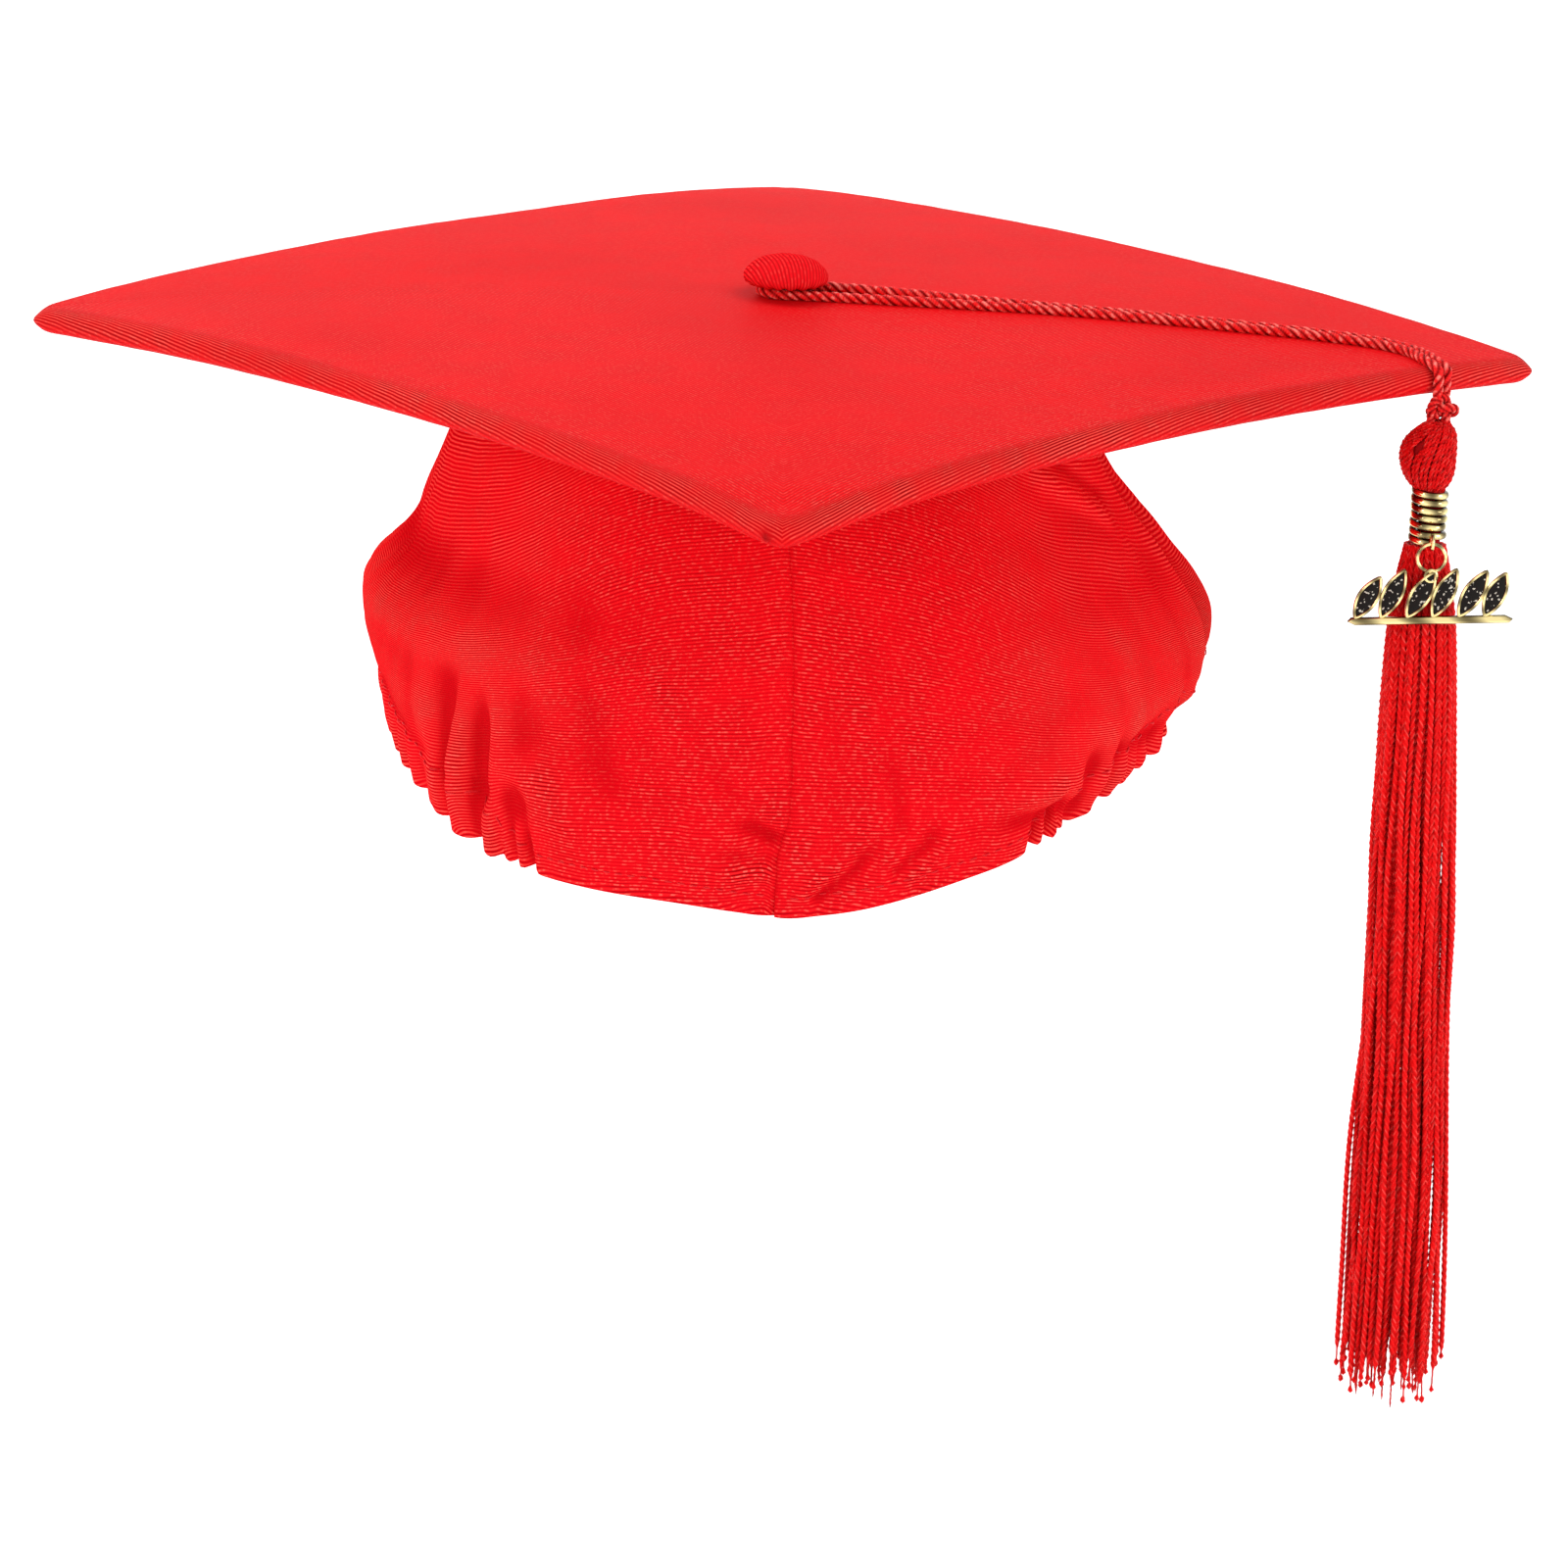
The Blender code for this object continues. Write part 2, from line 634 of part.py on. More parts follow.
def charm(looks, group, cutters):
    centre = HANG + FORWARD * CHARM_FORWARD
    half, height = STEM_LENGTH / 2, STEM_HEIGHT / 2
    stem = (
        (-half, 0), (-half + height, height), (half - 2 * height, height),
        (half, 0), (half - height, -height), (-half + 2 * height, -height),
    )
    bar = to_mesh(plate("charm_frame", stem, CHARM, looks["gold"], group), group)
    bar.location = centre + UP * STEM_Z
    for n, (root, lean, length) in enumerate(leaves()):
        outline = leaf_outline(root, lean, length, LEAF_HALF_WIDTH)
        rim = plate(f"leaf_rim_{n + 1}", outline, CHARM * 0.98, looks["gold"], cutters)
        rim = to_mesh(rim, cutters)
        rim.location = centre + UP * STEM_Z
        boolean(bar, rim, "UNION")
    ring_z = EYE_Z - RING_HANG - RING_RADIUS
    tab_turns = [2 * math.pi * k / 12 for k in range(12)]
    tab_outline = [(HANGER_RADIUS * math.cos(a), HANGER_RADIUS * math.sin(a)) for a in tab_turns]
    tab = to_mesh(plate("charm_hanger", tab_outline, CHARM * 0.96, looks["gold"], cutters), cutters)
    tab.location = centre + UP * (ring_z - RING_RADIUS - 0.7 * MM)
    boolean(bar, tab, "UNION")
    ring_route = circle(centre + UP * ring_z, RING_RADIUS, (RIGHT, UP), 20)
    ring = tube("charm_ring", ring_route, RING_WIRE / 2, looks["gold"], cutters, cyclic=True)
    ring = to_mesh(ring, cutters)
    boolean(bar, ring, "UNION")
    for n, (root, lean, length) in enumerate(leaves()):
        along = Vector((math.sin(lean), math.cos(lean)))
        fills = (("pocket", LEAF_RIM, POCKET * 2), ("enamel_leaf", LEAF_RIM + GAP, ENAMEL))
        for kind, rim_width, depth in fills:
            start = (root[0] + along.x * 2.2 * rim_width, root[1] + along.y * 2.2 * rim_width)
            outline = leaf_outline(start, lean, length - 4.4 * rim_width, LEAF_HALF_WIDTH - rim_width)
            look, home = ("gold", cutters) if kind == "pocket" else ("enamel", group)
            piece = to_mesh(plate(f"{kind}_{n + 1}", outline, depth, looks[look], home), home)
            front = CHARM / 2 if kind == "pocket" else CHARM / 2 - ENAMEL / 2 - 0.1 * MM
            piece.location = centre + UP * STEM_Z + FORWARD * front
            if kind == "pocket":
                boolean(bar, piece, "DIFFERENCE")


def main():
    clear_scene()
    group = collection("graduation_cap")
    cutters = collection("cutters")
    looks = {
        "fabric": material("red_fabric", (0.83, 0.018, 0.025), 0.7),
        "cord": material("red_cord", (0.62, 0.01, 0.012), 0.55),
        "strand": material("red_strand", (0.68, 0.01, 0.01), 0.5),
        "card": material("grey_card", (0.55, 0.52, 0.47), 0.9),
        "wadding": material("white_wadding", (0.85, 0.85, 0.83), 1.0),
        "elastic": material("white_elastic", (0.86, 0.84, 0.8), 0.85),
        "steel": material("tinned_steel", (0.7, 0.7, 0.72), 0.35, 1.0),
        "gold": material("gold_plate", (0.9, 0.68, 0.28), 0.2, 1.0),
        "enamel": material("black_enamel", (0.015, 0.013, 0.012), 0.2),
    }
    board(looks, group)
    button(looks, group)
    skull_cap(looks, group)
    cord(looks, group)
    tassel(looks, group)
    charm(looks, group, cutters)


main()
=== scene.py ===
"""Looks of the red graduation cap: its cloth, cord, tassel and charm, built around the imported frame.

+Z is up, -Y the front and +X the wearer's left. The camera, lights and floor are in metres.
"""
import math

import bpy
import numpy as np
from mathutils import Matrix, Vector


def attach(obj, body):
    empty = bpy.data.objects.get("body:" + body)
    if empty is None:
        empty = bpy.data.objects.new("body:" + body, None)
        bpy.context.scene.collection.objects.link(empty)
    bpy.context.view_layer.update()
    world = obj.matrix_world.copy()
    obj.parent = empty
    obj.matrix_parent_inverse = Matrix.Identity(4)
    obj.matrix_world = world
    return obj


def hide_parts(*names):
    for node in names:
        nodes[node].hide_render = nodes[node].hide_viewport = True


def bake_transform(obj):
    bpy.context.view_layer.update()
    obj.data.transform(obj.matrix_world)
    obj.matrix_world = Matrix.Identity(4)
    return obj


MM = 0.001
TAU = 2 * math.pi
ROOT2 = math.sqrt(2)

# The frame's own sizes, in millimetres
HALF_SIDE = 120.65
CORNER_RADIUS = HALF_SIDE * ROOT2
SAG = (6.7, 2.1)
TOP_Z = 6.6
UNDERSIDE_Z = 1.3
SHANK_HOLE = 1.8
BUTTON_Z = 9.7
SKULL_TOP_Z = 0.0
HEM_SIDE_Z = -85.2
HEM_DROPS = (23.5, 3.0)
HEM_TILT = 4.6
# The skull cap's radius at its sides and its front, by its share of the depth
SIDE_SECTION = (
    (0, 61), (0.15, 68), (0.32, 75), (0.55, 88.5), (0.66, 93.3), (0.78, 96.3), (0.9, 95), (1, 90.5),
)
FRONT_SECTION = (
    (0, 61), (0.15, 71), (0.32, 82), (0.55, 93), (0.66, 96), (0.78, 98), (0.9, 98), (1, 96),
)
CORD = 2.4
# The length in which the plies of the cord and of a strand go round once
CORD_LAY, STRAND_LAY = 7.0, 5.4
CORD_LIFT = 1.5
LOOP_RADIUS = 5.6
LEG_HALF_GAP = 1.35
# The plan of the cord's arm, from the button to the place where it leaves the board
ARM_ROUTE = (
    (0, 0), (10, -0.5), (44, -5), (71.6, -7.3), (99, -9.6), (122, -10.6), (133, -12.0), (140, -15.5),
    (143.7, -22.6),
)
HANG = np.array((145.9, -27.4, 0.0))
ALONG_EDGE = np.array((1, 1, 0)) / ROOT2
OUTWARD = np.array((1, -1, 0)) / ROOT2
KNOT_SHIFT = 0.9
DROP_Z = -2.4
# How far in front of the tassel's axis, height, radius and wire radius
EYE = (6.3, -37.0, 1.55, 0.4)
RING = (6.7, -40.45, 3.0, 0.4)
SKIRT_TOP_Z = -40.4
SKIRT_BOTTOM_Z = -240.0

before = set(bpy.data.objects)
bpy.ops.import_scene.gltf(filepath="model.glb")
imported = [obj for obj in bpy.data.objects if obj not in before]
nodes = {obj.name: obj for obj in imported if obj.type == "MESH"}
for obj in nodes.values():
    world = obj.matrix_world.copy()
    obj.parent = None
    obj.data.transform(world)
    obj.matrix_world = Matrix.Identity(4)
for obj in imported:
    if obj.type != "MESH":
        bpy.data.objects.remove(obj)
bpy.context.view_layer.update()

# ---- numbers


def step(low, high, t):
    u = np.clip((np.asarray(t, float) - low) / (high - low), 0, 1)
    return u * u * (3 - 2 * u)


def hump(t, width):
    return np.exp(-np.square(t / width))


def through(table, t):
    """A smooth curve through the table's (position, value) pairs, read at t."""
    at, value = np.array(table, float).T
    rise = np.diff(value) / np.diff(at)
    slope = np.concatenate([rise[:1], (value[2:] - value[:-2]) / (at[2:] - at[:-2]), rise[-1:]])
    t = np.asarray(t, float)
    i = np.clip(np.searchsorted(at, t, "right") - 1, 0, len(at) - 2)
    width = at[i + 1] - at[i]
    u = (t - at[i]) / width
    return (
        (2 * u**3 - 3 * u**2 + 1) * value[i]
        + (u**3 - 2 * u**2 + u) * slope[i] * width
        + (-2 * u**3 + 3 * u**2) * value[i + 1]
        + (u**3 - u**2) * slope[i + 1] * width
    )


def waves(seed, count, low, high):
    """A smooth random function of a length, of waves from low to high long, about 1 high."""
    draw = np.random.default_rng(seed)
    lengths, phases = draw.uniform(low, high, count), draw.uniform(0, TAU, count)
    return lambda s: sum(np.sin(TAU * s / w + p) for w, p in zip(lengths, phases)) / math.sqrt(count)


def waves_2d(seed, count, low, high):
    """The same, of two lengths."""
    draw = np.random.default_rng(seed)
    turns, lengths, phases = (draw.uniform(a, b, count) for a, b in ((0, TAU), (low, high), (0, TAU)))
    return lambda x, y: sum(
        np.sin(TAU * (x * math.cos(turn) + y * math.sin(turn)) / length + phase)
        for turn, length, phase in zip(turns, lengths, phases)
    ) / math.sqrt(count)


def circle(count):
    """Angles evenly round a circle."""
    return TAU * np.arange(count) / count


def unit(vectors):
    """The vectors, each made 1 long."""
    return vectors / np.linalg.norm(vectors, axis=-1)[..., None]


def join(*columns):
    """Points, or their numbers, from columns."""
    return np.stack(np.broadcast_arrays(*columns), -1)


def nearest(line, s, z):
    """Distance from a broken line, and how far along it that is, from 0 to 1."""
    best = np.full(np.broadcast(s, z).shape, 1e9)
    share = np.zeros_like(best)
    for k, ((s0, z0), (s1, z1)) in enumerate(zip(line, line[1:])):
        ds, dz = s1 - s0, z1 - z0
        t = np.clip(((s - s0) * ds + (z - z0) * dz) / (ds * ds + dz * dz), 0, 1)
        away = np.hypot(s - s0 - t * ds, z - z0 - t * dz)
        share = np.where(away < best, (k + t) / (len(line) - 1), share)
        best = np.minimum(best, away)
    return best, share


def run_along(line):
    """The length along a line, at each of its points."""
    return np.concatenate([[0], np.cumsum(np.linalg.norm(np.diff(line, axis=0), axis=1))])


def smooth_line(points, at):
    """The smooth line through points, read at lengths along it."""
    run = run_along(points)
    return np.stack([through(list(zip(run, column)), at) for column in np.transpose(points)], -1)


def route(points, spacing):
    """The smooth line through points, sampled evenly."""
    line = smooth_line(points, np.linspace(0, run_along(points)[-1], 40 * len(points)))
    run = run_along(line)
    even = np.linspace(0, run[-1], max(4, int(run[-1] / spacing)))
    return np.stack([np.interp(even, run, column) for column in line.T], -1)


def sag(x, y):
    """How far the board has bent down, most at its corners."""
    reach = (x * x + y * y) / CORNER_RADIUS**2
    return SAG[0] * reach + SAG[1] * reach * reach


# ---- meshes


class Surface:
    """Grids of points that become one mesh.

    Each point has up to four numbers for its material: three become "thread" and the last "fold", which
    paints shade in hollows and light on ridges.
    """

    def __init__(self):
        self.points, self.faces, self.thread, self.count = [], [], [], 0

    def grid(self, points, thread=(0, 0, 0), round_rows=False, ends=False):
        """Quads over points[row, column], closed round each row; ends closes a tube's first and last row."""
        rows, columns = points.shape[:2]
        index = np.arange(rows * columns).reshape(rows, columns) + self.count
        thread = np.asarray(thread, float)
        marks = np.zeros((rows * columns, 4))
        marks[:, : thread.shape[-1]] = thread.reshape(-1, thread.shape[-1])
        self.points.append(points.reshape(-1, 3))
        self.thread.append(marks)
        self.count += rows * columns
        wrapped = np.concatenate([index, index[:, :1]], 1)
        wrapped = np.concatenate([wrapped, wrapped[:1]], 0) if round_rows else wrapped
        corners = join(wrapped[:-1, :-1], wrapped[:-1, 1:], wrapped[1:, 1:], wrapped[1:, :-1])
        self.faces += corners.reshape(-1, 4).tolist()
        if ends:
            self.faces += [index[0, ::-1].tolist(), index[-1].tolist()]
        return index

    def tube(self, line, radii, sides=8, profile=None, twist=0.0, closed=False, phase=0.0):
        """A rod along a line. profile is the section's radius at each of its sides, about 1."""
        across, up = transport(line, closed)
        shape = np.ones(sides) if profile is None else profile
        crest = shape if profile is None else (shape - shape.min()) / np.ptp(shape)
        run = run_along(line)[:, None]
        angle = circle(sides) + (run * twist + phase)
        reach = np.broadcast_to(radii, len(line))[:, None] * shape
        points = line[:, None] + (reach * np.cos(angle))[..., None] * across[:, None]
        points = points + (reach * np.sin(angle))[..., None] * up[:, None]
        self.grid(points, join(crest, run, angle), round_rows=closed, ends=not closed)

    def volume(self, points):
        """Above 0 when the faces point out."""
        quads = np.array([f for f in self.faces if len(f) == 4])
        a, b, c, d = (points[quads[:, k]] for k in range(4))
        return float((a * (np.cross(b, c) + np.cross(c, d))).sum())

    def make(self, name, look, body, replaces=(), sharp=None, blend=None):
        """The piece in its look, riding on a body, or fixed where it stands when given a blend, in place of
        its CAD nodes.
        """
        points = np.concatenate(self.points)
        faces = self.faces
        if self.volume(points - points.mean(0)) < 0:
            faces = [f[::-1] for f in faces]
        mesh = bpy.data.meshes.new(name)
        mesh.from_pydata((points * MM).tolist(), [], faces)
        marks = np.concatenate(self.thread).astype(np.float32)
        thread = mesh.attributes.new("thread", "FLOAT_VECTOR", "POINT")
        thread.data.foreach_set("vector", np.ascontiguousarray(marks[:, :3]).ravel())
        fold = mesh.attributes.new("fold", "FLOAT", "POINT")
        fold.data.foreach_set("value", np.ascontiguousarray(marks[:, 3]))
        mesh.shade_smooth()
        if sharp:
            mesh.set_sharp_from_angle(angle=math.radians(sharp))
        mesh.materials.append(LOOKS[look])
        made = bpy.data.objects.new(name, mesh)
        bpy.context.scene.collection.objects.link(made)
        if blend:
            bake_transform(made)
        else:
            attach(made, body)
        if replaces:
            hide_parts(*replaces)
        return made


def transport(line, closed=False):
    """Two unit vectors across a line, at each of its points, which turn as little as they can."""
    ahead = np.roll(line, -1, 0) - np.roll(line, 1, 0) if closed else np.gradient(line, axis=0)
    along = unit(ahead)
    now = np.eye(3)[np.argmin(np.abs(along[0]))]
    across = np.empty_like(line)
    for i, t in enumerate(along):
        now = unit(now - t * (now @ t))
        across[i] = now
    return across, np.cross(along, across)


def thicken(surface, thickness):
    """An open surface given a second side, a thickness along its normals, and a closed rim."""
    points = np.concatenate(surface.points)
    thread = np.concatenate(surface.thread)
    faces = np.array(surface.faces)
    a, b, c, d = (points[faces[:, k]] for k in range(4))
    face_normal = np.cross(c - a, d - b)
    normal = np.zeros_like(points)
    for k in range(4):
        np.add.at(normal, faces[:, k], face_normal)
    normal /= np.maximum(np.linalg.norm(normal, axis=1)[:, None], 1e-12)
    count = len(points)
    edges = np.concatenate([faces[:, [k, (k + 1) % 4]] for k in range(4)])
    key = np.sort(edges, 1)
    _, first, uses = np.unique(key, axis=0, return_index=True, return_counts=True)
    rim = edges[first[uses == 1]]
    sides = join(rim[:, 1], rim[:, 0], rim[:, 0] + count, rim[:, 1] + count)
    made = Surface()
    made.points = [points, points + normal * thickness]
    made.thread = [thread, thread]
    made.count = 2 * count
    made.faces = faces.tolist() + (faces[:, ::-1] + count).tolist() + sides.tolist()
    return made


# ---- materials


class Look:
    """A Principled material and short ways to wire nodes into it."""

    def __init__(self, name, colour, roughness, **inputs):
        self.material = bpy.data.materials.new(name)
        self.material.use_nodes = True
        self.tree = self.material.node_tree
        self.shader = self.tree.nodes["Principled BSDF"]
        self.shader.inputs["Base Color"].default_value = (*colour, 1)
        self.shader.inputs["Roughness"].default_value = roughness
        for key, value in inputs.items():
            self.shader.inputs[key.replace("_", " ")].default_value = value

    def node(self, kind, inputs=None, **settings):
        made = self.tree.nodes.new("ShaderNode" + kind)
        for key, value in settings.items():
            setattr(made, key, value)
        for key, value in (inputs or {}).items():
            if isinstance(value, bpy.types.NodeSocket):
                self.tree.links.new(value, made.inputs[key])
            else:
                made.inputs[key].default_value = value
        return made

    def math(self, operation, a, b=0.0, c=0.0):
        return self.node("Math", {0: a, 1: b, 2: c}, operation=operation).outputs[0]

    def times(self, a, b):
        return self.math("MULTIPLY", a, b)

    def scaled(self, a, by, plus):
        return self.math("MULTIPLY_ADD", a, by, plus)

    def power(self, a, b):
        return self.math("POWER", a, b)

    def thread(self):
        """The three numbers of the surface's points."""
        read = self.node("Attribute", attribute_name="thread", attribute_type="GEOMETRY")
        split = self.node("SeparateXYZ", {0: read.outputs["Vector"]})
        return split.outputs

    def noise(self, scale, detail=3.0):
        place = self.node("TexCoord").outputs["Object"]
        return self.node("TexNoise", {"Vector": place, "Scale": scale, "Detail": detail}).outputs["Fac"]

    def wave(self, length, pitch):
        """A sine of a length in millimetres, from -1 to 1."""
        return self.math("SINE", self.times(length, TAU / pitch))

    def range(self, value, low, high):
        """0 below low, 1 above high."""
        return self.node("MapRange", {0: value, 1: low, 2: high}).outputs[0]

    def mix(self, share, low, high):
        """A colour between two, each a triple or a socket."""
        low, high = (c if isinstance(c, bpy.types.NodeSocket) else (*c, 1) for c in (low, high))
        return self.node("MixRGB", {0: share, 1: low, 2: high}).outputs[0]

    def colour(self, socket):
        self.tree.links.new(socket, self.shader.inputs["Base Color"])

    def bump(self, height, distance, strength=1.0):
        made = self.node("Bump", {"Height": height, "Distance": distance * MM, "Strength": strength})
        self.tree.links.new(made.outputs["Normal"], self.shader.inputs["Normal"])


# The painted shade colour of the cloth's hollows, and the colour added for its painted glints
CLOTH_HOLLOW_SHADE = (0.22, 0.0, 0.001)
GLINT = (0.26, 0.29, 0.20)


def ribbed_cloth(name, base, pitch, shine, groove_shade_amount, stretched=0.8, gloss=0.0, mottling=0.10):
    """Knitted polyester: saturated thread, with small painted glints (painted highlights) along the crests of
    its fine ribs and painted shade in the grooves between them.

    A point's numbers are its length across the ribs, its length along them, and how even the ribs
    are there; and its fold number is below 0 in a hollow, above 0 on a ridge: hollows get painted shade,
    ridges painted light and stronger glints.
    """
    look = Look(name, base, 0.6, Specular_IOR_Level=gloss)
    x, y, even = look.thread()
    fold = look.node("Attribute", attribute_name="fold", attribute_type="GEOMETRY").outputs["Fac"]
    ribs = look.scaled(look.wave(look.scaled(look.noise(90.0, 2.0), 0.8, x), pitch), 0.5, 0.5)
    crest = look.power(ribs, 3.5)
    gap = look.power(look.math("SUBTRACT", 1.0, ribs), 2.0)
    place = look.node("CombineXYZ", {0: look.times(x, 1.3), 1: look.times(y, 0.85)}).outputs[0]
    fine = look.node("TexNoise", {"Vector": place, "Scale": 1.0, "Detail": 1.0}).outputs["Fac"]
    dash = look.math("MAXIMUM", look.range(fine, 0.48, 0.64), look.times(even, 0.6))
    patch = look.scaled(look.range(look.noise(110.0, 2.0), 0.35, 0.65), 0.40, 0.45)
    # Painted highlights: the glints are stronger on ridges and weaker in hollows
    ridge = look.node("Clamp", {0: look.scaled(fold, 0.9, 1.0), 1: 0.15, 2: 1.8}).outputs[0]
    strength = look.times(look.times(patch, ridge), look.scaled(even, stretched - 0.75, 0.75))
    glint = look.times(look.times(crest, dash), look.times(strength, shine))
    mottle = look.times(look.math("SUBTRACT", look.noise(38.0, 4.0), 0.5), mottling)
    # Painted shade in the grooves between the ribs
    painted_groove_shade = look.times(look.times(gap, strength), groove_shade_amount)
    level = look.math("ADD", look.math("SUBTRACT", 1.0, painted_groove_shade), mottle)
    # Painted light on ridges
    level = look.scaled(look.math("MAXIMUM", fold, 0.0), 0.08, level)
    parts = [look.scaled(glint, GLINT[k], look.times(level, base[k])) for k in range(3)]
    light = look.node("CombineColor", dict(enumerate(parts))).outputs[0]
    # Painted shade in the hollows, mixed towards a deep red
    hollow = look.times(look.math("MAXIMUM", look.times(fold, -1.0), 0.0), 0.48)
    look.colour(look.mix(hollow, light, CLOTH_HOLLOW_SHADE))
    look.bump(look.math("ADD", ribs, fine), 0.07)
    return look.material


def yarn(name, low, high, glints):
    """Glossy twisted yarn, with painted shade between its plies and painted glints on their crests; the first
    number is 1 on a ply's crest.
    """
    look = Look(name, high, 0.5, Specular_IOR_Level=0.08, Sheen_Weight=0.01, Sheen_Roughness=0.4)
    look.shader.inputs["Sheen Tint"].default_value = (1, 0.6, 0.6, 1)
    crest, run, turn = look.thread()
    fibres = look.wave(look.scaled(turn, 0.35, run), 0.62)
    # Painted shade: the low colour between the plies, the high colour on their crests
    share = look.scaled(fibres, 0.12, look.times(look.power(crest, 1.4), 0.88))
    # Painted highlights: glints on the crests
    glint = look.times(look.power(crest, 5.0), look.range(look.noise(700.0, 2.0), 0.46, 0.62))
    look.colour(look.mix(look.times(glint, glints), look.mix(share, low, high), (1.0, 0.42, 0.34)))
    look.bump(fibres, 0.05)
    return look.material


def gold(name):
    """Gold plate with painted shade and painted reflections: near black off its crests and in stripes along
    it; the first number is 1 on a crest, the second runs along.
    """
    look = Look(name, (0.93, 0.66, 0.26), 0.14, Metallic=1.0)
    crest, run, _ = look.thread()
    # Painted reflections: near black stripes along the length; with the crest, painted shade off the crests
    reflection_bands = look.scaled(look.wave(run, 4.7), 0.40, 0.76)
    share = look.power(look.times(crest, reflection_bands), 1.7)
    look.colour(look.mix(share, (0.02, 0.008, 0.002), (1.0, 0.82, 0.38)))
    look.bump(look.noise(260.0, 2.0), 0.05, 0.5)
    return look.material


def glitter_enamel(name):
    """Black enamel with metal specks in it."""
    look = Look(name, (0.012, 0.011, 0.010), 0.45, Specular_IOR_Level=0.06)
    place = look.node("TexCoord").outputs["Object"]
    cells = look.node("TexVoronoi", {"Vector": place, "Scale": 2600.0}, feature="F1")
    split = look.node("SeparateColor", {0: cells.outputs["Color"]})
    bright = look.math("GREATER_THAN", split.outputs[0], 0.91)
    look.colour(look.mix(bright, (0.012, 0.010, 0.009), (0.55, 0.50, 0.42)))
    metal = look.times(bright, 0.9)
    look.tree.links.new(metal, look.shader.inputs["Metallic"])
    look.bump(split.outputs[1], 0.02, 0.6)
    return look.material


def mottled(name, base, low, high, roughness, grain, bumps=None, **inputs):
    """A material mottled between two colours; grain and bumps start with a noise's scale and detail."""
    look = Look(name, base, roughness, **inputs)
    look.colour(look.mix(look.noise(*grain), low, high))
    if bumps:
        look.bump(look.noise(*bumps[:2]), *bumps[2:])
    return look.material


def knitted_elastic(name):
    look = Look(name, (0.86, 0.85, 0.82), 0.85, Specular_IOR_Level=0.2)
    x, y, _ = look.thread()
    ribs = look.wave(x, 0.9)
    # Painted shade between the ribs and painted light on them
    look.colour(look.mix(look.scaled(ribs, 0.5, 0.5), (0.70, 0.69, 0.66), (0.92, 0.91, 0.88)))
    look.bump(look.math("ADD", ribs, look.wave(y, 1.1)), 0.1)
    return look.material


def plain_cloth(name):
    """The crown panel's cloth, whose points have no numbers of their own."""
    look = Look(name, (0.7, 0.01, 0.015), 0.7, Specular_IOR_Level=0.04)
    place = look.node("TexCoord").outputs["Object"]
    split = look.node("SeparateXYZ", {0: place}).outputs
    ribs = look.wave(look.math("ADD", split[0], split[1]), 1.4 * MM)
    cross = look.wave(look.math("SUBTRACT", split[0], split[1]), 1.4 * MM)
    height = look.scaled(cross, 0.4, ribs)
    # Painted shade where the weave is low and painted light where it is high
    look.colour(look.mix(look.scaled(height, 0.25, 0.5), (0.5, 0.0, 0.002), (0.9, 0.03, 0.035)))
    look.bump(height, 0.06)
    return look.material


# ---- studio


# The camera's aim before it is turned a little off it, in metres, and its distance, lens and angles
CAMERA_AIM_Z, CAMERA_DISTANCE, CAMERA_LENS = -0.00485, 1.3883, 140.38
CAMERA_ANGLES = (12.739, -0.367, 4.097, 0.1505, 2.031)


def camera():
    """Seen from the front and a little above, tipped so that the cap's left side is lower."""
    rise, swing, aim_down, aim_right, roll = (math.radians(a) for a in CAMERA_ANGLES)
    made = bpy.data.objects.new("camera", bpy.data.cameras.new("camera"))
    made.data.lens, made.data.sensor_width = CAMERA_LENS, 36
    made.data.clip_start, made.data.clip_end = 0.05, 30
    turn = Matrix.Rotation(swing, 4, "Z") @ Matrix.Rotation(math.pi / 2 - rise, 4, "X")
    aim = Matrix.Rotation(-aim_down, 4, "X") @ Matrix.Rotation(-aim_right, 4, "Y")
    place = Matrix.Translation((0, 0, CAMERA_AIM_Z)) @ turn @ Matrix.Translation((0, 0, CAMERA_DISTANCE))
    made.matrix_world = place @ aim @ Matrix.Rotation(roll, 4, "Z")
    bpy.context.scene.collection.objects.link(made)
    bpy.context.scene.camera = made


# Name, place, the height it aims at, size and power
LIGHTS = (
    ("key", (-0.9, 0.9, 1.2), -0.05, 0.7, 13),
    ("front", (-1.5, -1.5, 0.6), -0.05, 0.6, 11.5),
    ("side", (1.8, -0.8, 0.4), -0.08, 0.7, 10),
)
FLOOR_Z, FLOOR_REACH = -0.272, 40


def studio():
    """White surroundings, three soft lights and a pale floor that the cap hangs above."""
    world = bpy.data.worlds.new("studio")
    world.use_nodes = True
    sky = world.node_tree.nodes["Background"].inputs
    sky["Color"].default_value, sky["Strength"].default_value = (1, 1, 1, 1), 1.0
    bpy.context.scene.world = world
    bpy.context.scene.view_settings.view_transform = "Standard"
    for name, place, aim, size, power in LIGHTS:
        data = bpy.data.lights.new(name, "AREA")
        data.size, data.energy = size, power
        light = bpy.data.objects.new(name, data)
        light.location = place
        light.rotation_euler = (Vector(place) - Vector((0, 0, aim))).to_track_quat("Z", "Y").to_euler()
        bpy.context.scene.collection.objects.link(light)
    mesh = bpy.data.meshes.new("floor")
    corners = [(x * FLOOR_REACH, y * FLOOR_REACH, FLOOR_Z) for x, y in ((-1, -1), (1, -1), (1, 1), (-1, 1))]
    mesh.from_pydata(corners, [], [(0, 1, 2, 3)])
    floor = bpy.data.objects.new("floor", mesh)
    bpy.context.scene.collection.objects.link(floor)
    pale = Look("pale_floor", (0.95, 0.95, 0.95), 0.9, Specular_IOR_Level=0.1, Emission_Strength=0.14)
    pale.shader.inputs["Emission Color"].default_value = (1, 1, 1, 1)
    mesh.materials.append(pale.material)


camera()
studio()

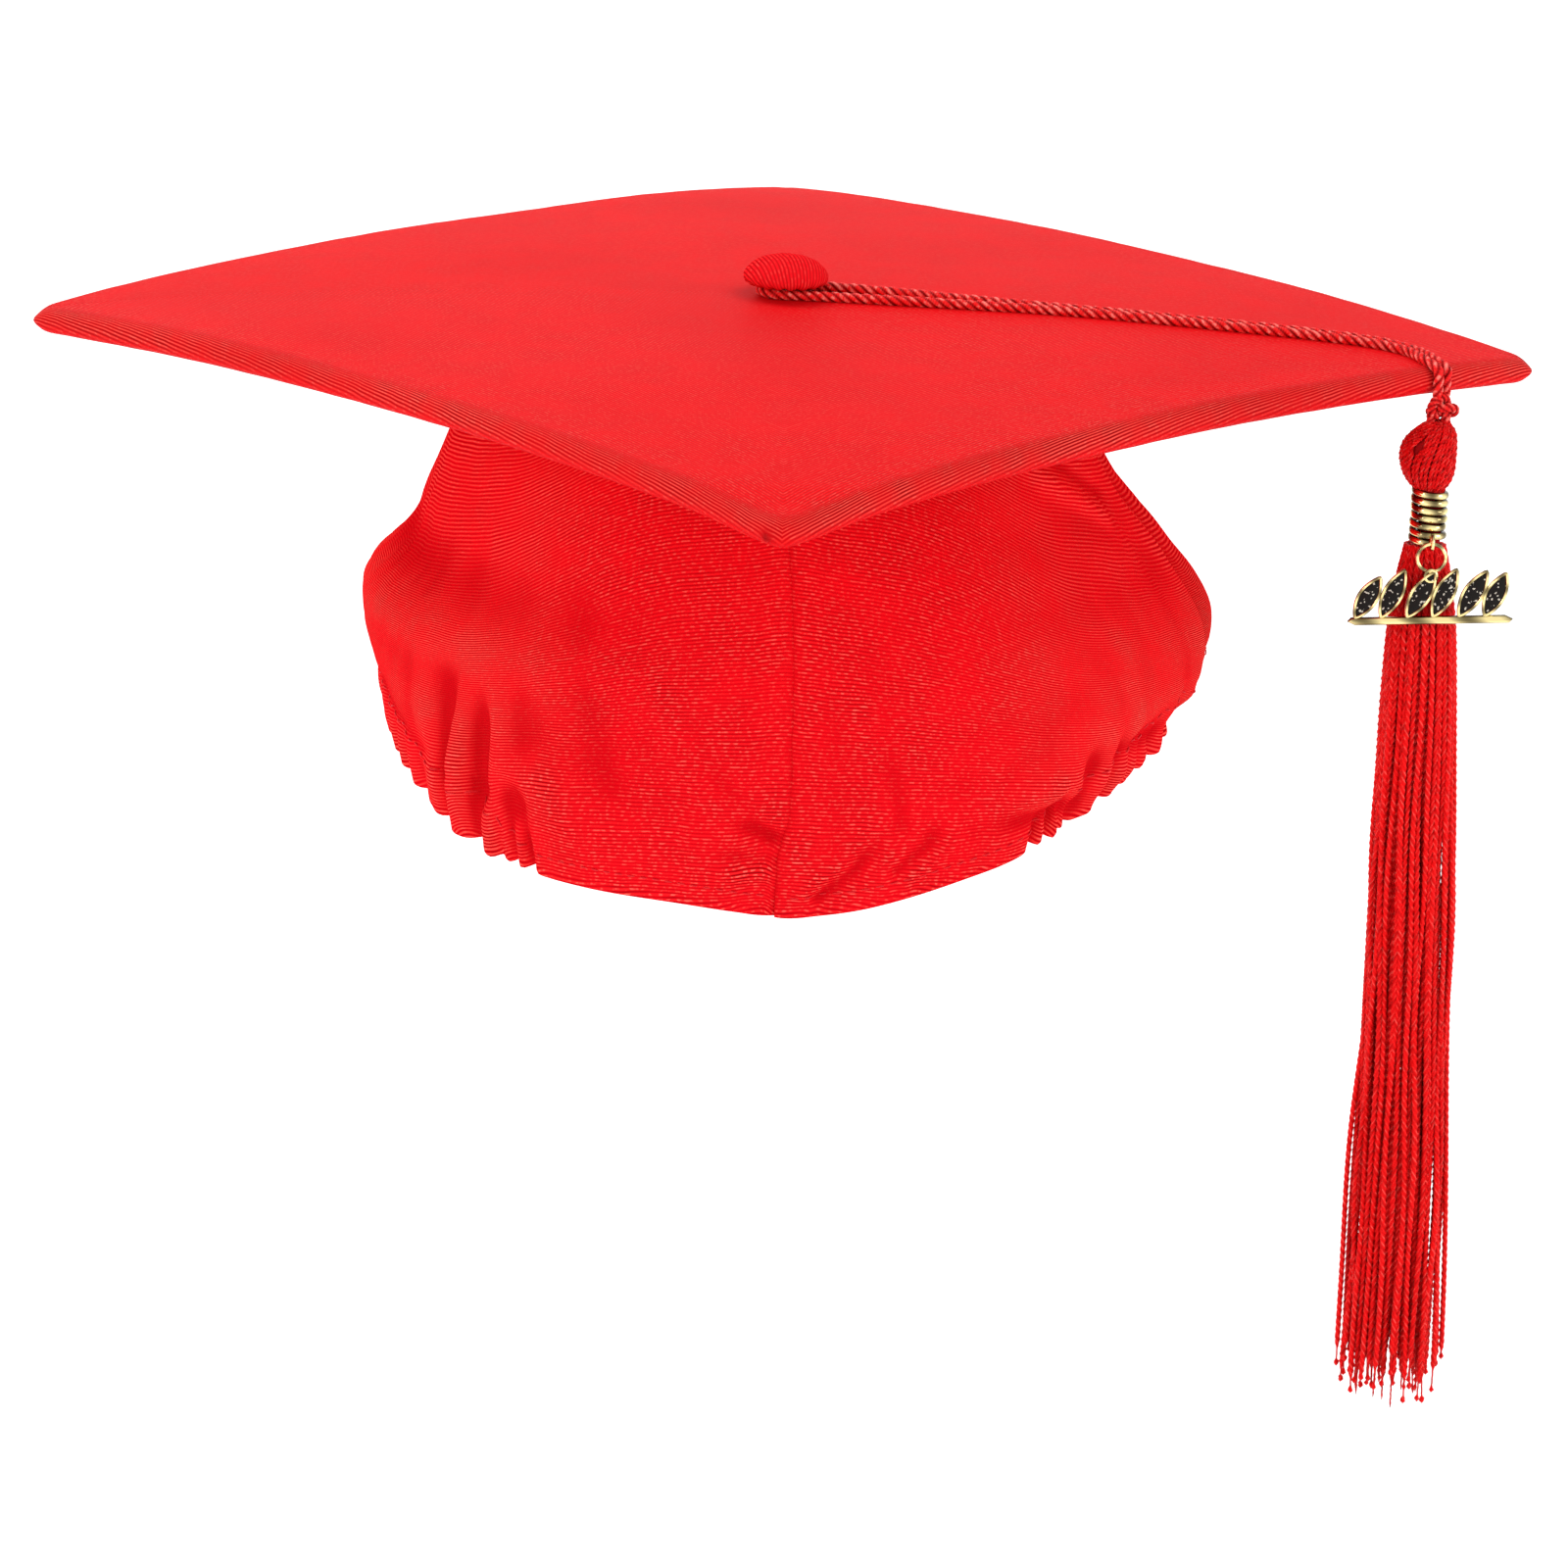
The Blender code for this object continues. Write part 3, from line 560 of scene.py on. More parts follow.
LOOKS = {
    "board": ribbed_cloth("board_cloth", (0.72, 0.002, 0.005), 0.86, 0.28, 0.45, 2.2, 0.035, 0.06),
    "skull": ribbed_cloth("skull_cloth", (0.77, 0.003, 0.009), 0.86, 0.60, 0.75, 0.6),
    "button": ribbed_cloth("button_cloth", (0.78, 0.009, 0.014), 0.9, 0.25, 0.9),
    "inside": plain_cloth("crown_cloth"),
    "cord": yarn("cord_yarn", (0.30, 0.0, 0.001), (0.95, 0.015, 0.015), 0.5),
    "strand": yarn("strand_yarn", (0.66, 0.0, 0.001), (1.0, 0.010, 0.010), 0.30),
    "core": Look("strand_core", (0.30, 0.001, 0.002), 0.8, Specular_IOR_Level=0.1).material,
    "gold": gold("gold_plate_look"),
    "enamel": glitter_enamel("glitter_enamel"),
    "card": mottled("grey_card_look", (0.5, 0.47, 0.42), (0.40, 0.37, 0.33), (0.60, 0.57, 0.51), 0.9,
                    (400.0, 5.0), Specular_IOR_Level=0.2),
    "wadding": mottled("wadding_look", (0.85, 0.85, 0.83), (0.72, 0.72, 0.70), (0.92, 0.92, 0.90), 1.0,
                       (300.0, 4.0), (900.0, 6.0, 0.4), Specular_IOR_Level=0.1),
    "elastic": knitted_elastic("elastic_look"),
    "steel": mottled("steel_look", (0.62, 0.62, 0.63), (0.52, 0.52, 0.53), (0.72, 0.72, 0.73), 0.3,
                     (120.0, 3.0), (700.0, 3.0, 0.03, 0.4), Metallic=1.0),
    "sewing": Look("sewing_thread", (0.62, 0.008, 0.014), 0.6, Specular_IOR_Level=0.2).material,
}

# ---- cord


def arm_line(t):
    """The plan place between the cord's two legs, from the button, at 0, to the board's edge, at 1."""
    return smooth_line(ARM_ROUTE, t * run_along(ARM_ROUTE)[-1])


def leg(side):
    """One leg on the board, from beside the button to the edge."""
    t = 0.03 + 0.97 * np.linspace(0, 1, 23)
    ahead = unit(arm_line(np.minimum(t + 0.01, 1)) - arm_line(np.maximum(t - 0.01, 0)))
    across = join(-ahead[:, 1], ahead[:, 0])
    gap = LEG_HALF_GAP + (LOOP_RADIUS - LEG_HALF_GAP) * (1 - step(0.0, 0.46, t))
    x, y = (arm_line(t) + across * side * gap[:, None]).T
    return join(x, y, TOP_Z - sag(x, y) + CORD_LIFT)


def drop(side):
    """One leg over the edge and down into the knot."""
    top = HANG + ALONG_EDGE * (KNOT_SHIFT + side * LEG_HALF_GAP)
    inward = HANG + ALONG_EDGE * (KNOT_SHIFT + side * 0.9)
    clear = top + (0, 0, DROP_Z)
    bend = leg(side)[-1] * 0.28 + clear * 0.72 + OUTWARD * 0.9 + np.array((0, 0, 1.9))
    return [bend, clear, top + (0, 0, -4.6), inward + (0, 0, -6.8)]


def plied(plies, sides_each, depth):
    """The section of a rope of plies: its radius at each side, least between two plies."""
    turn = np.arange(sides_each) / sides_each * 2 - 1
    return np.tile(1 - depth * np.abs(turn) ** 2.2, plies)


def make_cord():
    """The doubled cord: round the shank, over the board and its edge, down to the knot."""
    turns = -math.pi / 2 - math.pi * np.arange(1, 8) / 8
    x, y = LOOP_RADIUS * np.cos(turns), LOOP_RADIUS * np.sin(turns)
    loop = join(x, y, TOP_Z - sag(x, y) + CORD_LIFT)
    line = route([*drop(-1)[::-1], *leg(-1)[::-1], *loop, *leg(1), *drop(1)], 0.45)
    body = Surface()
    body.tube(line, CORD / 2, 15, plied(3, 5, 0.34), TAU / CORD_LAY)
    start = leg(-1)[-1] * MM
    end = (HANG + ALONG_EDGE * KNOT_SHIFT + (0, 0, DROP_Z)) * MM
    bend = ("cord_arm", "cord_drop", tuple(start), tuple(end))
    replaces = ("cord_loop", "cord_drop_front", "cord_drop_rear")
    return body.make("cord", "cord", None, replaces, blend=bend), line


def make_knot():
    """The overhand knot under the edge, and the loop that it leaves through the tassel's head."""
    turn = circle(140)
    ring = 2.0 + 1.05 * np.cos(3 * turn)
    line = join(ring * np.cos(2 * turn), 1.05 * ring * np.sin(2 * turn), 1.2 * np.sin(3 * turn))
    tip = np.array([(1, 0, 0), (0, 0.45, -0.9), (0, 0.9, 0.45)])
    line = line @ tip + HANG + ALONG_EDGE * KNOT_SHIFT + (0.2, -0.2, -8.3)
    body = Surface()
    body.tube(line, 1.08, 12, plied(3, 4, 0.3), TAU * 9 / run_along(line)[-1], closed=True)
    centre = HANG + (0.3, 0, 0)
    hang = [(-1.6, -0.3, -9.6), (-2.1, -0.5, -11.6), (-1.5, 0, -14.2), (0.2, 0.3, -15.4),
            (1.9, 0, -14.0), (1.9, -0.3, -11.4), (1.3, -0.2, -9.4)]
    body.tube(route([centre + p for p in hang], 0.5), 0.95, 12, plied(3, 4, 0.3), TAU / 5.5)
    return body.make("cord_knot_loops", "cord", "cord_drop", ["cord_knot"])


knot = make_knot()
cord, cord_line = make_cord()

# ---- board

BOARD_PUFF = waves_2d(3, 7, 55, 150)
EDGE_PUCKER = waves(5, 6, 9, 26)
CORNER_ROUND = 3.2
# How far in from the side the edge starts to curve down
EDGE_REACH = 2.4
COVER = 0.5
# Where the front corner begins, and the place of the tuck in its edge
FRONT = (-150, -165)
TUCK = (-2.6, -167.4)
THREAD_SLANT = 0.14
# How far round the edge from the top each cover's rim lies
TOP_WRAP, UNDER_WRAP = math.radians(148), math.radians(151)


def board_outline():
    """Points round the board, in axes square to its sides, closer together near its corners."""
    u = np.linspace(0, 1, 110, endpoint=False)
    share = 0.55 * (0.5 - 0.5 * np.cos(math.pi * u)) + 0.45 * u
    corners = np.array([(1, 1), (-1, 1), (-1, -1), (1, -1)], float) * HALF_SIDE
    outline = np.concatenate([a + (b - a) * share[:, None] for a, b in zip(corners, np.roll(corners, -1, 0))])
    inner = np.clip(outline, CORNER_ROUND - HALF_SIDE, HALF_SIDE - CORNER_ROUND)
    return inner + CORNER_ROUND * unit(outline - inner)


OUTLINE = board_outline()


def board_ring(share):
    """The outline shrunk to a share of its size, rounder towards the centre."""
    square = step(0.05, 0.6, share)
    return (OUTLINE * square + unit(OUTLINE) * HALF_SIDE * (1 - square)) * share


def board_skin(top, shares, turns):
    """One cover: rings over a face of the board, and on round its edge, at turns from the top."""
    rings = [(s, None) for s in shares]
    rings += [(1 - EDGE_REACH * (1 - math.sin(t)) / HALF_SIDE, t) for t in turns]
    rows, threads = [], []
    middle, half = (TOP_Z + UNDERSIDE_Z) / 2, (TOP_Z - UNDERSIDE_Z) / 2
    for share, turn in rings:
        a, b = board_ring(share).T
        x, y = (a - b) / ROOT2, (a + b) / ROOT2
        on_a = np.abs(a) > np.abs(b)
        inwards = HALF_SIDE - np.maximum(np.abs(a), np.abs(b))
        near_edge = hump(inwards, 9.0)
        corner = np.hypot(HALF_SIDE - np.abs(a), HALF_SIDE - np.abs(b))
        front = step(*FRONT, y)
        pinch = 1 - (1 - front) * (0.75 * hump(corner, 3.0) + 0.1 * hump(corner, 14.0))
        tuck = hump(np.hypot(x - TUCK[0], y - TUCK[1]), 1.4)
        tuck = tuck * (0.1 if turn is None else hump(turn - 1.75, 0.4))
        pucker = EDGE_PUCKER(np.where(on_a, b, a) + 40 * np.sign(a) + 75 * np.sign(b))
        swell = 0.16 * BOARD_PUFF(x, y) * step(0, 30, np.hypot(x, y)) * (1 if top else 0.4)
        swell = swell + 0.03 * pucker * near_edge
        # The fold number paints shade: a ring round the button, the tuck and a soft line beside the button,
        # and a little light and shade over the puffs
        fold = 0.12 * BOARD_PUFF(x + 31, y) - 0.75 * hump(np.hypot(x, y) - 9.5, 3.0) - 1.9 * tuck
        fold = fold - 0.16 * hump(nearest(((-9, 2), (-16, 5), (-34, 6)), x, y)[0], 5.5)
        # shown sets how strongly the painted glints show: faintly near the top's edge, most on the edge's
        # rounding
        if turn is None:
            z = middle + (half if top else -half) * pinch + swell
            extra, shown = 0.0, 0.3 * step(6, 0, inwards)
        else:
            z = middle + half * math.cos(turn) * pinch + swell * abs(math.cos(turn))
            extra = 2.9 * (turn if top else math.pi - turn)
            shown = (0.3 + 0.7 * step(0, 0.6, turn)) * step(2.3, 1.5, turn)
        if top:
            z = z - 0.28 * hump(np.hypot(x, y), 11.0) - 0.7 * tuck
        rows.append(join(x, y, z - sag(x, y) - 0.8 * front))
        thread_a = np.abs(a) + THREAD_SLANT * b + np.where(on_a, extra, 0)
        thread_b = np.abs(b) + THREAD_SLANT * a + np.where(on_a, 0, extra)
        across, other = np.where(on_a, thread_a, thread_b), np.where(on_a, thread_b, thread_a)
        # Painted light along the top near the edge, painted shade round the edge's turn
        fold = fold + 0.5 * near_edge * (1 if top and turn is None else -0.3)
        threads.append(join(across, other, shown, fold))
    grid, thread = np.array(rows), np.array(threads)
    if top:
        grid, thread = grid[:, ::-1], thread[:, ::-1]
    body = Surface()
    body.grid(grid, thread)
    return thicken(body, COVER)


def make_board():
    reach = (HALF_SIDE - EDGE_REACH) / HALF_SIDE
    shares = np.linspace((SHANK_HOLE + 0.2) / HALF_SIDE, reach, 64, endpoint=False)
    top = board_skin(True, shares, np.linspace(0, TOP_WRAP, 14))
    top = top.make("board_top_skin", "board", "cap", ["board_cover_top"])
    shares = np.linspace(0.004, reach, 50, endpoint=False)
    under = board_skin(False, shares, np.linspace(math.pi, UNDER_WRAP, 5))
    under = under.make("board_underside_skin", "board", "cap", ["board_cover_underside"])


make_board()

BUTTON_PROFILE = (
    (0.25, 5.62), (1.5, 5.58), (3, 5.45), (4.4, 5.22), (5.6, 4.9), (6.8, 4.42), (7.8, 3.82), (8.6, 3.15),
    (9.2, 2.5), (9.52, 1.9), (9.62, 1.35), (9.5, 0.85), (9.1, 0.42), (8.4, 0.12), (7.4, 0.0), (6.4, -0.05),
    (5.2, 0.0),
)
BUTTON_RISE = 1.13


def make_button():
    """The covered button: a domed skin with small pleats drawn in under its rim."""
    fine = np.linspace(0, run_along(BUTTON_PROFILE)[-1], 60)
    r, z = smooth_line(BUTTON_PROFILE, fine).T
    turn = circle(120)
    pleats = 0.28 * np.sin(turn * 19 + 0.6 * np.sin(turn * 3)) * step(9.5, 13.5, fine)[:, None]
    reach = r[:, None] + 0.1 * pleats
    x, y = reach * np.cos(turn), reach * np.sin(turn)
    spread = (fine / np.maximum(r, 0.3))[:, None]
    body = Surface()
    points = join(x, y, BUTTON_RISE * z[:, None] + BUTTON_Z + pleats)
    body.grid(points, join((x + 0.25 * y) * spread, (y - 0.1 * x) * spread, 0))
    made = thicken(body, 0.45).make("button_skin", "button", "cap", ["button_cover"])


make_button()

# ---- skull cap

# Angles are from the front, and an arc is an angle's length along the cloth
SEAM = math.radians(0.9)
GATHERS = (math.radians(35), math.radians(44))
FIRST_GATHER = 63.4171
ARC = 94.0
HEM, CASING = 5.0, 11.0
TURN = 0.75
CLOTH_HALF = 0.3
PANEL_TOP_Z = SKULL_TOP_Z - 0.35
PANEL_COLUMNS, PANEL_ROWS = 400, 92
ELASTIC_START = math.radians(46)
ELASTIC_SPAN = (0.9, 7.9)
ELASTIC_HALF = 0.26

# Folds of each side: height in or out, half width, and their line as (arc from the seam, z)
FOLDS = {
    -1: (
        (-0.5, 2.6, ((18, -72), (13, -80), (2, -90))), (-0.9, 1.7, ((14, -86), (1, -91))),
        (0.7, 2.0, ((14, -100), (1, -99))), (-0.5, 1.6, ((15, -96), (1, -95))),
        (0.4, 2.4, ((22, -73), (16, -82), (8, -87))), (-0.5, 4.5, ((54, -34), (48, -58), (37, -82))),
        (0.45, 5.0, ((64, -30), (58, -56), (50, -72))), (0.5, 3.5, ((30, -42), (27, -60), (22, -76))),
        (1.3, 3.2, ((67, -60), (67, -70), (64, -82))), (-1.5, 3.4, ((73, -66), (72, -78), (71, -92))),
        (1.2, 3.6, ((78, -60), (77, -76), (77, -90))), (-1.4, 3.2, ((84, -60), (83, -74), (82, -90))),
        (0.9, 4.5, ((100, -34), (93, -58), (90, -78))),
    ),
    1: (
        (0.5, 3.0, ((12, -45), (14, -58), (18, -70))), (-0.5, 2.2, ((21, -66), (26, -89))),
        (-0.9, 1.9, ((27, -82), (20, -93), (17, -98), (10, -104))),
        (0.7, 2.2, ((23, -83), (16, -94), (13, -99), (7, -103))),
        (-0.7, 1.8, ((35, -84), (32, -94), (26, -99))), (0.6, 2.0, ((39, -85), (36, -94), (30, -99))),
        (0.5, 2.8, ((45, -70), (44, -84))), (-0.9, 2.6, ((44, -91), (56, -90), (66, -88))),
        (1.2, 4.0, ((88, -40), (84, -62), (80, -80))), (-1.5, 3.2, ((75, -72), (74, -92))),
        (1.2, 5.0, ((122, -10), (125, -45), (114, -72))),
        (-2.3, 3.2, ((135, -8), (137, -40), (133, -62), (120, -80))),
        (0.9, 5.0, ((146, -20), (148, -50), (142, -70))), (0.8, 2.2, ((62, -8), (84, -22), (108, -34))),
        (-0.7, 2.2, ((66, -6), (90, -18), (114, -30))),
    ),
}
# Bulges and dents of each side: arc, z, height, radius along, radius up
BULGES = {
    -1: ((53, -86, 2.4, 8, 8), (61, -92, -2.6, 4.5, 5), (42, -95, 0.7, 12, 6)),
    1: ((60, -83, 2.6, 9, 6), (66, -90, -2.4, 4.5, 3.5), (50, -96, 0.9, 8, 5), (5, -93, 1.0, 5, 7)),
}
# The tight pleats where the gathers begin: arc at each side, then way on, depth and half width of each
PINCHES = {-1: 58.0, 1: 59.5}
PLEATS = ((0, 2.6, 1.5), (4.6, 1.7, 1.3), (8.6, 1.5, 1.4))

# How far the cloth stands out at each side, by its depth below the board
SLACK = {
    -1: ((0, 1.0), (8, 1.3), (16, 1.3), (26, 1.6), (32, 0.9), (38, -0.3), (42, -1.4), (46, -2.6), (50, -2.7),
         (54, -1.2), (58, 1.3), (62, 1.8), (68, -0.6), (74, -2.3), (80, -3.0), (88, -0.9), (100, 2.0)),
    1: ((0, -0.8), (8, -1.4), (16, -2.2), (26, -3.0), (34, -4.5), (42, -4.4), (48, -4.2),
        (54, -2.8), (60, -1.8), (68, -1.6), (74, -0.9), (80, -2.6), (86, 0.0), (92, -2.6), (100, -1.6)),
}

UNDULATION = waves_2d(11, 9, 34, 90)
CREPE = waves_2d(12, 8, 9, 20)


def hem_z(side, u):
    """The hem's height before it is gathered: low in front, higher behind, tilted to one side."""
    facing = np.cos(u)
    tilt = step(0, math.radians(60), u) * (1 - step(math.radians(110), math.pi, u))
    low = HEM_SIDE_Z - np.where(facing > 0, HEM_DROPS[0], HEM_DROPS[1]) * facing**2
    return low + side * HEM_TILT * tilt


def gathered(u):
    """0 along the smooth front of the hem, 1 where the elastic gathers it."""
    return step(GATHERS[0], GATHERS[1], u)


def hem_height(u):
    """How tall the turned-in edge is: a narrow hem in front, the elastic's casing behind."""
    return HEM + (CASING - HEM) * gathered(u)


def skull_radius(u, depth):
    """The smooth skull cap's radius, between its side section and its front section."""
    share = np.cos(u) ** 2
    return through(SIDE_SECTION, depth) * (1 - share) + through(FRONT_SECTION, depth) * share


def gather_lines(side):
    """Random valleys that run up from the hem: arc, lean, half width, depth and length of each."""
    draw = np.random.default_rng(40 + side)
    lines, s = [], FIRST_GATHER
    while s < math.pi * ARC - 3:
        deep = draw.random() < 0.4
        lines.append((s, draw.uniform(-0.16, 0.16), draw.uniform(1.5, 2.3),
                      draw.uniform(1.7, 2.6) if deep else draw.uniform(0.8, 1.6),
                      draw.uniform(24, 40) if deep else draw.uniform(10, 20)))
        s += draw.uniform(6.0, 11.5)
    return lines


def gathers(side, u, height):
    """How far the cloth goes in or out where the elastic gathers it, and its share at the hem."""
    s = u * ARC
    total = np.zeros(np.broadcast(s, height).shape)
    pull = np.zeros_like(total)
    for place, lean, width, depth, reach in gather_lines(side):
        fade = 1 - step(0.15 * reach, reach, height)
        half = width * (1 + 0.8 * np.clip(height, 0, None) / reach)
        away = s - place - lean * height
        total -= depth * hump(away, half) * fade
        total += 0.45 * depth * hump(np.abs(away) - 2.1 * half, 1.2 * half) * fade
        pull = np.maximum(pull, hump(away, half) * min(depth / 1.8, 1))
    share = gathered(u)
    total += 1.3 * hump(height - 19, 9.0) - 0.5 * hump(height - CASING, 1.5)
    return total * share, pull * share


def relief(side, u, z):
    """The cloth's whole way in or out from the smooth skull shape, at an angle and height."""
    s = u * ARC
    height = z - hem_z(side, u)
    out, pull = gathers(side, u, height)
    for amount, width, line in FOLDS[side]:
        away, along = nearest(line, s, z)
        out = out + 1.8 * amount * hump(away, width * (1.5 - 0.5 * along)) * step(-0.05, 0.6, along)
    for place, level, amount, wide, tall in BULGES[side]:
        out = out + 1.2 * amount * hump((s - place) / wide, 1) * hump((z - level) / tall, 1)
    for away, depth, width in PLEATS:
        pleat = hump(s - PINCHES[side] - away, width)
        out = out - depth * pleat * (1 - step(2, 11, height))
        pull = np.maximum(pull, 0.8 * pleat)
    top = step(0, 14, -z)
    out = out + (0.45 * UNDULATION(s + 60 * side, z) + 0.05 * CREPE(s + 30 * side, z)) * top
    out = out + through(SLACK[side], -z) * np.sin(u) ** 2
    out = out + seam_valley(s - side * SEAM * ARC, top) + seam_valley((math.pi - u) * ARC, top)
    if side > 0:
        out = out + 0.8 * hump((s - SEAM * ARC) / 7, 1) * hump(height / 18, 1)
    return out, pull


def seam_valley(away, top):
    """The panels dive in along a seam, and their allowances go on inwards past it."""
    dive = np.where(away < 0, 0.35 - 0.9 * away, 0.35 * hump(away, 1.1))
    return 0.45 * hump(away - 4.2, 3.0) * top - dive


def skull_shift(z):
    """The skull cap hangs a little to one side of the board's centre."""
    return 2.6 * step(8, 60, -z)


def panel_point(side, u, radius, z):
    """A place on the skull cap; low down, its front seam leans a little."""
    turn = side * u - 0.02 * step(-86, -98, z) * hump(u, 0.3)
    return join(radius * np.sin(turn) + skull_shift(z), -radius * np.cos(turn), z)


def panel_height(side, u):
    """The hem's height, drawn up where the cloth is pinched, lower at the front seam's lap."""
    low = hem_z(side, u)
    _, pull = relief(side, u, low)
    degrees = np.degrees(u)
    if side > 0:
        low = low + 0.5 * hump(degrees - 22, 10) - 0.7 * hump(degrees - 45, 12)
    else:
        low = low + 1.2 * hump(degrees - 12, 10) - 2.9 * hump(degrees - 40, 13)
    return low + 1.5 * pull - 0.7 * gathered(u)


def cloth_radius(side, u, z, low):
    """The cloth's distance from the skull cap's axis, over a hem at a height."""
    return skull_radius(u, (z - PANEL_TOP_Z) / (low - PANEL_TOP_Z)) + relief(side, u, z)[0]


def panel_section(side, u, low):
    """Radius and height down the outside, round the hem and up the turned-in edge, at each angle."""
    depth = np.linspace(0, 1, PANEL_ROWS)
    z = PANEL_TOP_Z + (low - PANEL_TOP_Z) * depth
    radius = cloth_radius(side, u, z, low)
    turn = np.linspace(0, math.pi, 8)[1:-1]
    rim = radius[:, -1:] - TURN
    fold_r, fold_z = rim + TURN * np.cos(turn), low - TURN * np.sin(turn)
    up = np.linspace(0, 1, 9)
    back_z = low + up * hem_height(u)
    back_r = cloth_radius(side, u, back_z, low) - 2 * TURN + 0.5 * step(0.8, 1.0, up)
    return np.concatenate([radius, fold_r, back_r], 1), np.concatenate([z, fold_z, back_z], 1)


def hollows(grid, reach):
    """How far each point stands out of its neighbourhood, from -1 to 1."""
    wide = grid
    for _ in range(reach):
        padded = np.pad(wide, 1, mode="edge")
        wide = (padded[:-2, 1:-1] + padded[2:, 1:-1] + padded[1:-1, :-2] + padded[1:-1, 2:]) / 4
    return np.clip(grid - wide, -1, 1)


def make_panel(side, name, node):
    """One half of the skull cap: its outside, the hem's fold and the turned-in edge, in one piece."""
    past_seam = 0.45 / ARC
    u = np.linspace(side * SEAM - past_seam, math.pi + past_seam, PANEL_COLUMNS)
    low, u = panel_height(side, u)[:, None], u[:, None]
    radius, z = panel_section(side, u, low)
    dr, dz = np.gradient(radius, axis=1), np.gradient(z, axis=1)
    size = np.hypot(dr, dz)
    nr, nz = -dz / size, dr / size
    run = np.cumsum(size, axis=1)
    slope = (0.10 + 0.32 * (1 - step(55, 95, run))) * (0.35 + 0.65 * step(0.2, 0.9, u))
    across = run - slope * np.abs(radius * np.sin(u))
    level = np.clip((z - PANEL_TOP_Z) / (low - PANEL_TOP_Z), 0, 1)
    # The fold number paints shade in the cloth's hollows and light on its ridges
    fold = hollows(radius - skull_radius(u, level), 40) / 1.2
    # ribbed also sets how strong the painted glints and groove shade are
    ribbed = 0.15 + 0.85 * step(math.radians(22), math.radians(48), u)
    thread = join(across, u * ARC, ribbed, fold)
    outer, inner = (
        panel_point(side, u, radius + way * nr, z + way * nz) for way in (CLOTH_HALF, -CLOTH_HALF)
    )
    body = Surface()
    loop = np.concatenate([outer, inner[:, ::-1]], 1)
    index = body.grid(loop, np.concatenate([thread, thread[:, ::-1]], 1))
    for row, order in ((index[0], -1), (index[-1], 1)):
        back = row[::-1]
        ends = join(row[:-1], row[1:], back[1:], back[:-1])[: len(row) // 2 - 1]
        body.faces += ends[:, ::order].tolist()
    made = body.make(name, "skull", "cap", [node])


def make_elastic():
    """The elastic band between the hem's two layers, drawn up with them."""
    halves = []
    for side, order in ((1, 1), (-1, -1)):
        u = np.linspace(ELASTIC_START, math.pi - 0.003, 170)
        low, u = panel_height(side, u)[:, None], u[:, None]
        z = low + np.linspace(*ELASTIC_SPAN, 8)
        radius = cloth_radius(side, u, z, low) - TURN
        outer, inner = (panel_point(side, u, radius + way, z) for way in (ELASTIC_HALF, -ELASTIC_HALF))
        halves.append(np.concatenate([outer, inner[:, ::-1]], 1)[::order])
    loop = np.concatenate(halves, 0)
    run = 1.6 * np.arange(len(loop))[:, None]
    body = Surface()
    body.grid(loop, join(run, loop[..., 2], 0), ends=True)
    body.make("elastic_in_casing", "elastic", "cap", ["elastic_band"])


STITCH, STITCH_GAP = 2.0, 0.9
STITCH_LIFT = (-0.28, 0.16, 0.224, 0.16, -0.28)


def make_stitches():
    """Rows of sewing thread: along the front hem, and along the top of the casing."""
    body = Surface()
    for side in (1, -1):
        for s in np.arange(side * SEAM * ARC + 2.5, math.pi * ARC - STITCH, STITCH + STITCH_GAP):
            u = np.linspace(s, s + STITCH, len(STITCH_LIFT)) / ARC
            low = panel_height(side, u)
            z = low + hem_height(u) - 0.8
            radius = cloth_radius(side, u, z, low) + CLOTH_HALF + np.array(STITCH_LIFT)
            body.tube(panel_point(side, u, radius, z), 0.17, 5)
    body.make("hem_stitches", "sewing", "cap")


make_panel(1, "skull_side_left", "skull_panel_left")
make_panel(-1, "skull_side_right", "skull_panel_right")
make_elastic()
make_stitches()

# ---- tassel

SKIRT_WIDTH = ((0, 4.9), (0.03, 6.2), (0.1, 8.0), (0.28, 9.2), (0.46, 10.0), (0.75, 10.7), (1, 11.3))
SKIRT_FLAT = 0.66
SKIRT_MIDDLE = ((-250, 3.1), (-236, 3.0), (-182, 2.3), (-132, 1.3), (-72, -0.15), (-40, -0.9))

# How far single outer strands hang sideways out of the skirt
STRAYS = {0: 2.2, 1: 1.0, 39: 1.3, 20: -1.6, 18: -0.7}


def skirt_width(z):
    """Half the skirt's width at a height."""
    return through(SKIRT_WIDTH, (z - SKIRT_TOP_Z) / (SKIRT_BOTTOM_Z - SKIRT_TOP_Z))


def skirt_middle(z):
    """How far the skirt's middle has drifted sideways at a height."""
    return through(SKIRT_MIDDLE, z)


